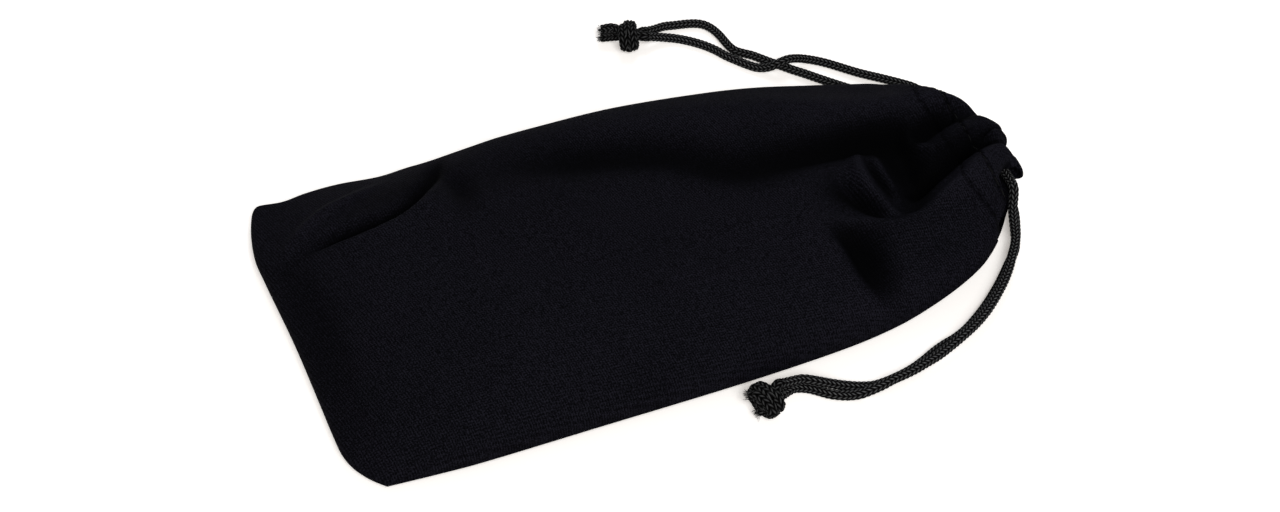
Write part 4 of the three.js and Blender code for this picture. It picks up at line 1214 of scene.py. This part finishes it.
def back_hem_rise(x, v):
    """The back cloth's underside, which stays low where the cords leave the casing."""
    under = back_height(x, v, BODY_LENGTH) - CLOTH / 2
    low = smooth((x - 79 * MM) / (5 * MM))
    return mix(under, np.minimum(under, 1.6 * MM), low)


def back_hem_floor(x, y, v):
    wave = 0.3 * MM * (1 + np.sin(y / (2.3 * MM))) * bump_at(x, MOUTH_X, 5 * MM)
    return back_hem_rise(x, v) + wave


def back_hem_top(x, y, v):
    under = back_hem_rise(x, v)
    sewn = under + 2 * CLOTH
    puff = np.maximum(BACK_ROOF - 0.1 * MM, sewn)
    wave = 0.22 * MM * np.sin(y / (1.4 * MM) + 2 * np.sin(y / (4.1 * MM)))
    sewn_flat = sewn_in(x, y, under * 0)
    return mix(sewn, puff + wave, smooth((x - UPPER_ROW) / (1.6 * MM))) + 0.6 * sewn_flat


v = np.linspace(-0.985, 0.985, 240)
points, faces = tube_of_cloth(back_lip, v, back_hem_top, back_hem_floor, BACK_TURN, BACK_BELLY)
back_hem = new_piece("back_hem_casing", points, faces, knit, "pouch")
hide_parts("back_hem")

# %% [markdown]
# ## The stitches
# Two rows of lockstitch hold each hem. A real stitch is a short bow of thread that dives into the
# cloth at both ends. Here it is a little over two millimetres long, and each one is a small bent
# bead of its own. The thread is black polyester with a faint gloss.

# %% Thread finish and one row of stitches
THREAD_RADIUS = 0.14 * MM
THREAD_STEP = 0.05 * MM
STITCH_LENGTH, STITCH_GAP = 2.3 * MM, 0.75 * MM


def make_thread_finish():
    g = Graph("thread")
    place = g.node("ShaderNodeAttribute", attribute_name="along")
    ply = g.node(
        "ShaderNodeTexWave",
        {"Vector": place.outputs["Vector"], "Scale": 1.0, "Distortion": 0.6},
        wave_type="BANDS",
        bands_direction="DIAGONAL",
    ).outputs["Fac"]
    bump = g.node("ShaderNodeBump", {"Height": ply, "Strength": 0.5, "Distance": 0.0001})
    return g.finish(
        Base_Color=g.mix_colour(ply, grey(0.001), grey(0.012)),
        Roughness=0.5,
        Specular_IOR_Level=0.05,
        Normal=bump.outputs[0],
    )


thread = make_thread_finish()


def row_line(row, pull, surface, end):
    """Where a row runs from v = -end to end: straight on a flat cloth, drawn back on a lobe."""
    v = np.linspace(-end, end, 1500)
    x = np.full_like(v, row)
    for _ in range(12 if pull else 1):
        y = mix(near_y(x), far_y(x), (v + 1) / 2)
        lie = front_lie(x, y, v, BODY_LENGTH)
        x = mix(x, row - drawn_back(lie, pull), 0.5)
    y = mix(near_y(x), far_y(x), (v + 1) / 2)
    return even_steps(np.stack([x, y, surface(x, y, v)], axis=-1), THREAD_STEP)


def stitch(line):
    """One stitch: a bow of thread over a stretch of a row, with its places."""
    t = np.linspace(0, 1, 9)
    bow = line[np.round(t * (len(line) - 1)).astype(int)]
    bow = bow + np.array([0, 0, 1]) * (np.sin(np.pi * t)[:, None] ** 0.5 - 0.9) * 0.26 * MM
    bow[:, 2] = np.maximum(bow[:, 2], THREAD_RADIUS)
    thick = THREAD_RADIUS * (0.55 + 0.45 * np.sin(np.pi * t) ** 0.4)
    points, faces = blunt_tube(rings_round(bow, thick[:, None], np.arange(8) / 8))
    turn = np.tile(np.arange(8) * 0.8, 9)
    return points, faces, np.stack([np.repeat(t * 9, 8), turn, 0 * turn], axis=-1)


def stitch_row(name, node, line):
    """A row of stitches along a line on the cloth."""
    pitch = int(round((STITCH_LENGTH + STITCH_GAP) / THREAD_STEP))
    count = int(round(STITCH_LENGTH / THREAD_STEP))
    firsts = range(6, len(line) - count, pitch)
    form = joined([stitch(line[first : first + count + 1]) for first in firsts])
    yarn_piece(name, form, thread, "pouch", node)


# %% Sew the four rows
lower_line = row_line(LOWER_ROW, LOWER_PULL, front_hem_top, 0.93)
upper_line = row_line(UPPER_ROW, UPPER_PULL, front_hem_top, 0.93)
stitch_row("front_stitches_lower", "front_hem_stitch_lower", lower_line)
stitch_row("front_stitches_upper", "front_hem_stitch_upper", upper_line)
lower_line = row_line(LOWER_ROW, 0, back_hem_floor, 0.95)
upper_line = row_line(UPPER_ROW, 0, back_hem_top, 0.95)
stitch_row("back_stitches_lower", "back_hem_stitch_lower", lower_line)
stitch_row("back_stitches_upper", "back_hem_stitch_upper", upper_line)

# %% [markdown]
# ## Seam allowances
# Inside, the raw edges are overlocked: a chain of thread loops over the two cut edges. They can
# only be seen through the mouth, so a bead with a loop pattern is enough.

# %% Overlock the edges inside
OVERLOCK_INSET = 3.2 * MM
OVERLOCK_STEP = 0.4 * MM
OVERLOCK_RADIUS, LOOP_HEIGHT, LOOP_LENGTH = 0.66 * MM, 0.14 * MM, 1.6 * MM


def overlock_line(y_of, inward):
    x = np.linspace(BOTTOM_X + 18 * MM, JOINT_X - 8 * MM, 17)
    y = y_of(x) + inward * OVERLOCK_INSET
    v = np.clip((2 * y - near_y(x) - far_y(x)) / (far_y(x) - near_y(x)), -1, 1)
    heights = near_height(x) if inward > 0 else far_height(x)
    z = back_height(x, v, x - BOTTOM_X) + 1.5 * MM + 0.35 * MM * heights / (8 * MM)
    return np.stack([x, y, z], axis=-1)


def bottom_overlock_line():
    t = np.linspace(0.2, 0.84, 11)
    share = np.linspace(0, 1, len(closed_end))
    x = np.interp(t, share, closed_end[:, 0]) + OVERLOCK_INSET
    y = np.interp(t, share, closed_end[:, 1])
    z = back_height(x, 2 * t - 1, OVERLOCK_INSET) + 1.7 * MM
    return np.stack([x, y, z], axis=-1)


def overlocked_edge(side, route):
    line = smooth_line(route, OVERLOCK_STEP)
    run = np.arange(len(line)) * OVERLOCK_STEP
    turn = np.arange(10) / 10
    chain = 0.5 + 0.5 * np.sin(2 * np.pi * (run[:, None] / LOOP_LENGTH + turn[None, :]))
    r = OVERLOCK_RADIUS + LOOP_HEIGHT * chain
    fibre = np.stack([np.broadcast_to(run[:, None] / MM, r.shape), 0 * r, 0 * r], axis=-1)
    fibre = np.vstack([fibre.reshape(-1, 3), np.zeros((2, 3))])
    form = *pointed_tube(line, rings_round(line, r, turn)), fibre
    name = side + "_overlock"
    yarn_piece(name + "_chain", form, thread, "pouch", name)


overlocked_edge("near", overlock_line(near_y, 1))
overlocked_edge("far", overlock_line(far_y, -1))
overlocked_edge("bottom", bottom_overlock_line())

# %% [markdown]

# %% [markdown]
# ## Table and light
# The pouch lies on a plain white table under soft light. Most of it comes from the near side and
# above: the cloth is brightest along its near edge, where painted light adds to the lamp, and the
# shadow there is only a thin line. A weaker, cooler light stands on the far side and lifts the far
# rim. The white room does the rest.

# %% Lay the table
def make_table_finish():
    g = Graph("white_table")
    diffuse = g.node("ShaderNodeBsdfDiffuse", {"Color": (0.93, 0.915, 0.9, 1), "Roughness": 0.5})
    glow = g.node("ShaderNodeEmission", {"Color": (1, 0.94, 0.88, 1), "Strength": 0.36})
    nothing = g.node("ShaderNodeEmission", {"Strength": 0.0})
    path = g.node("ShaderNodeLightPath")
    seen = g.node("ShaderNodeMixShader", {0: path.outputs["Is Camera Ray"]})
    g.tree.links.new(nothing.outputs[0], seen.inputs[1])
    g.tree.links.new(glow.outputs[0], seen.inputs[2])
    both = g.node("ShaderNodeAddShader")
    g.tree.links.new(diffuse.outputs[0], both.inputs[0])
    g.tree.links.new(seen.outputs[0], both.inputs[1])
    g.tree.nodes.remove(g.shader)
    g.tree.links.new(both.outputs[0], g.tree.nodes["Material Output"].inputs["Surface"])
    return g.material


table_mesh = bpy.data.meshes.new("table")
table_mesh.from_pydata([(-3, -3, 0), (3, -3, 0), (3, 3, 0), (-3, 3, 0)], [], [(0, 1, 2, 3)])
table_mesh.materials.append(make_table_finish())
table = bpy.data.objects.new("table", table_mesh)
bpy.context.collection.objects.link(table)
table.location.z = -0.02 * MM

# %% Set the lights
def area_light(name, place, target, size, power, colour):
    data = bpy.data.lights.new(name, "AREA")
    data.shape = "RECTANGLE"
    data.size, data.size_y = size
    data.energy = power
    data.color = colour
    lamp = bpy.data.objects.new(name, data)
    bpy.context.collection.objects.link(lamp)
    lamp.location = place
    lamp.rotation_euler = (Vector(target) - Vector(place)).to_track_quat("-Z", "Y").to_euler()
    return lamp


area_light("window", (0.25, 0.6, 0.75), (0, 0, 0), (0.4, 0.4), 3.2, (0.9, 0.94, 1.0))
area_light("ceiling", (-0.05, -0.7, 0.75), (0, 0, 0), (0.5, 0.5), 7.2, (1, 1, 1))

world = bpy.data.worlds.new("soft_room")
world.use_nodes = True
bpy.context.scene.world = world
background = world.node_tree.nodes["Background"]
seen = world.node_tree.nodes.new("ShaderNodeLightPath")
strength = world.node_tree.nodes.new("ShaderNodeMapRange")
strength.inputs["To Min"].default_value = 0.22
strength.inputs["To Max"].default_value = 1
world.node_tree.links.new(seen.outputs["Is Camera Ray"], strength.inputs["Value"])
world.node_tree.links.new(strength.outputs["Result"], background.inputs["Strength"])
background.inputs["Color"].default_value = (1, 1, 1, 1)
bpy.context.scene.view_settings.view_transform = "Standard"
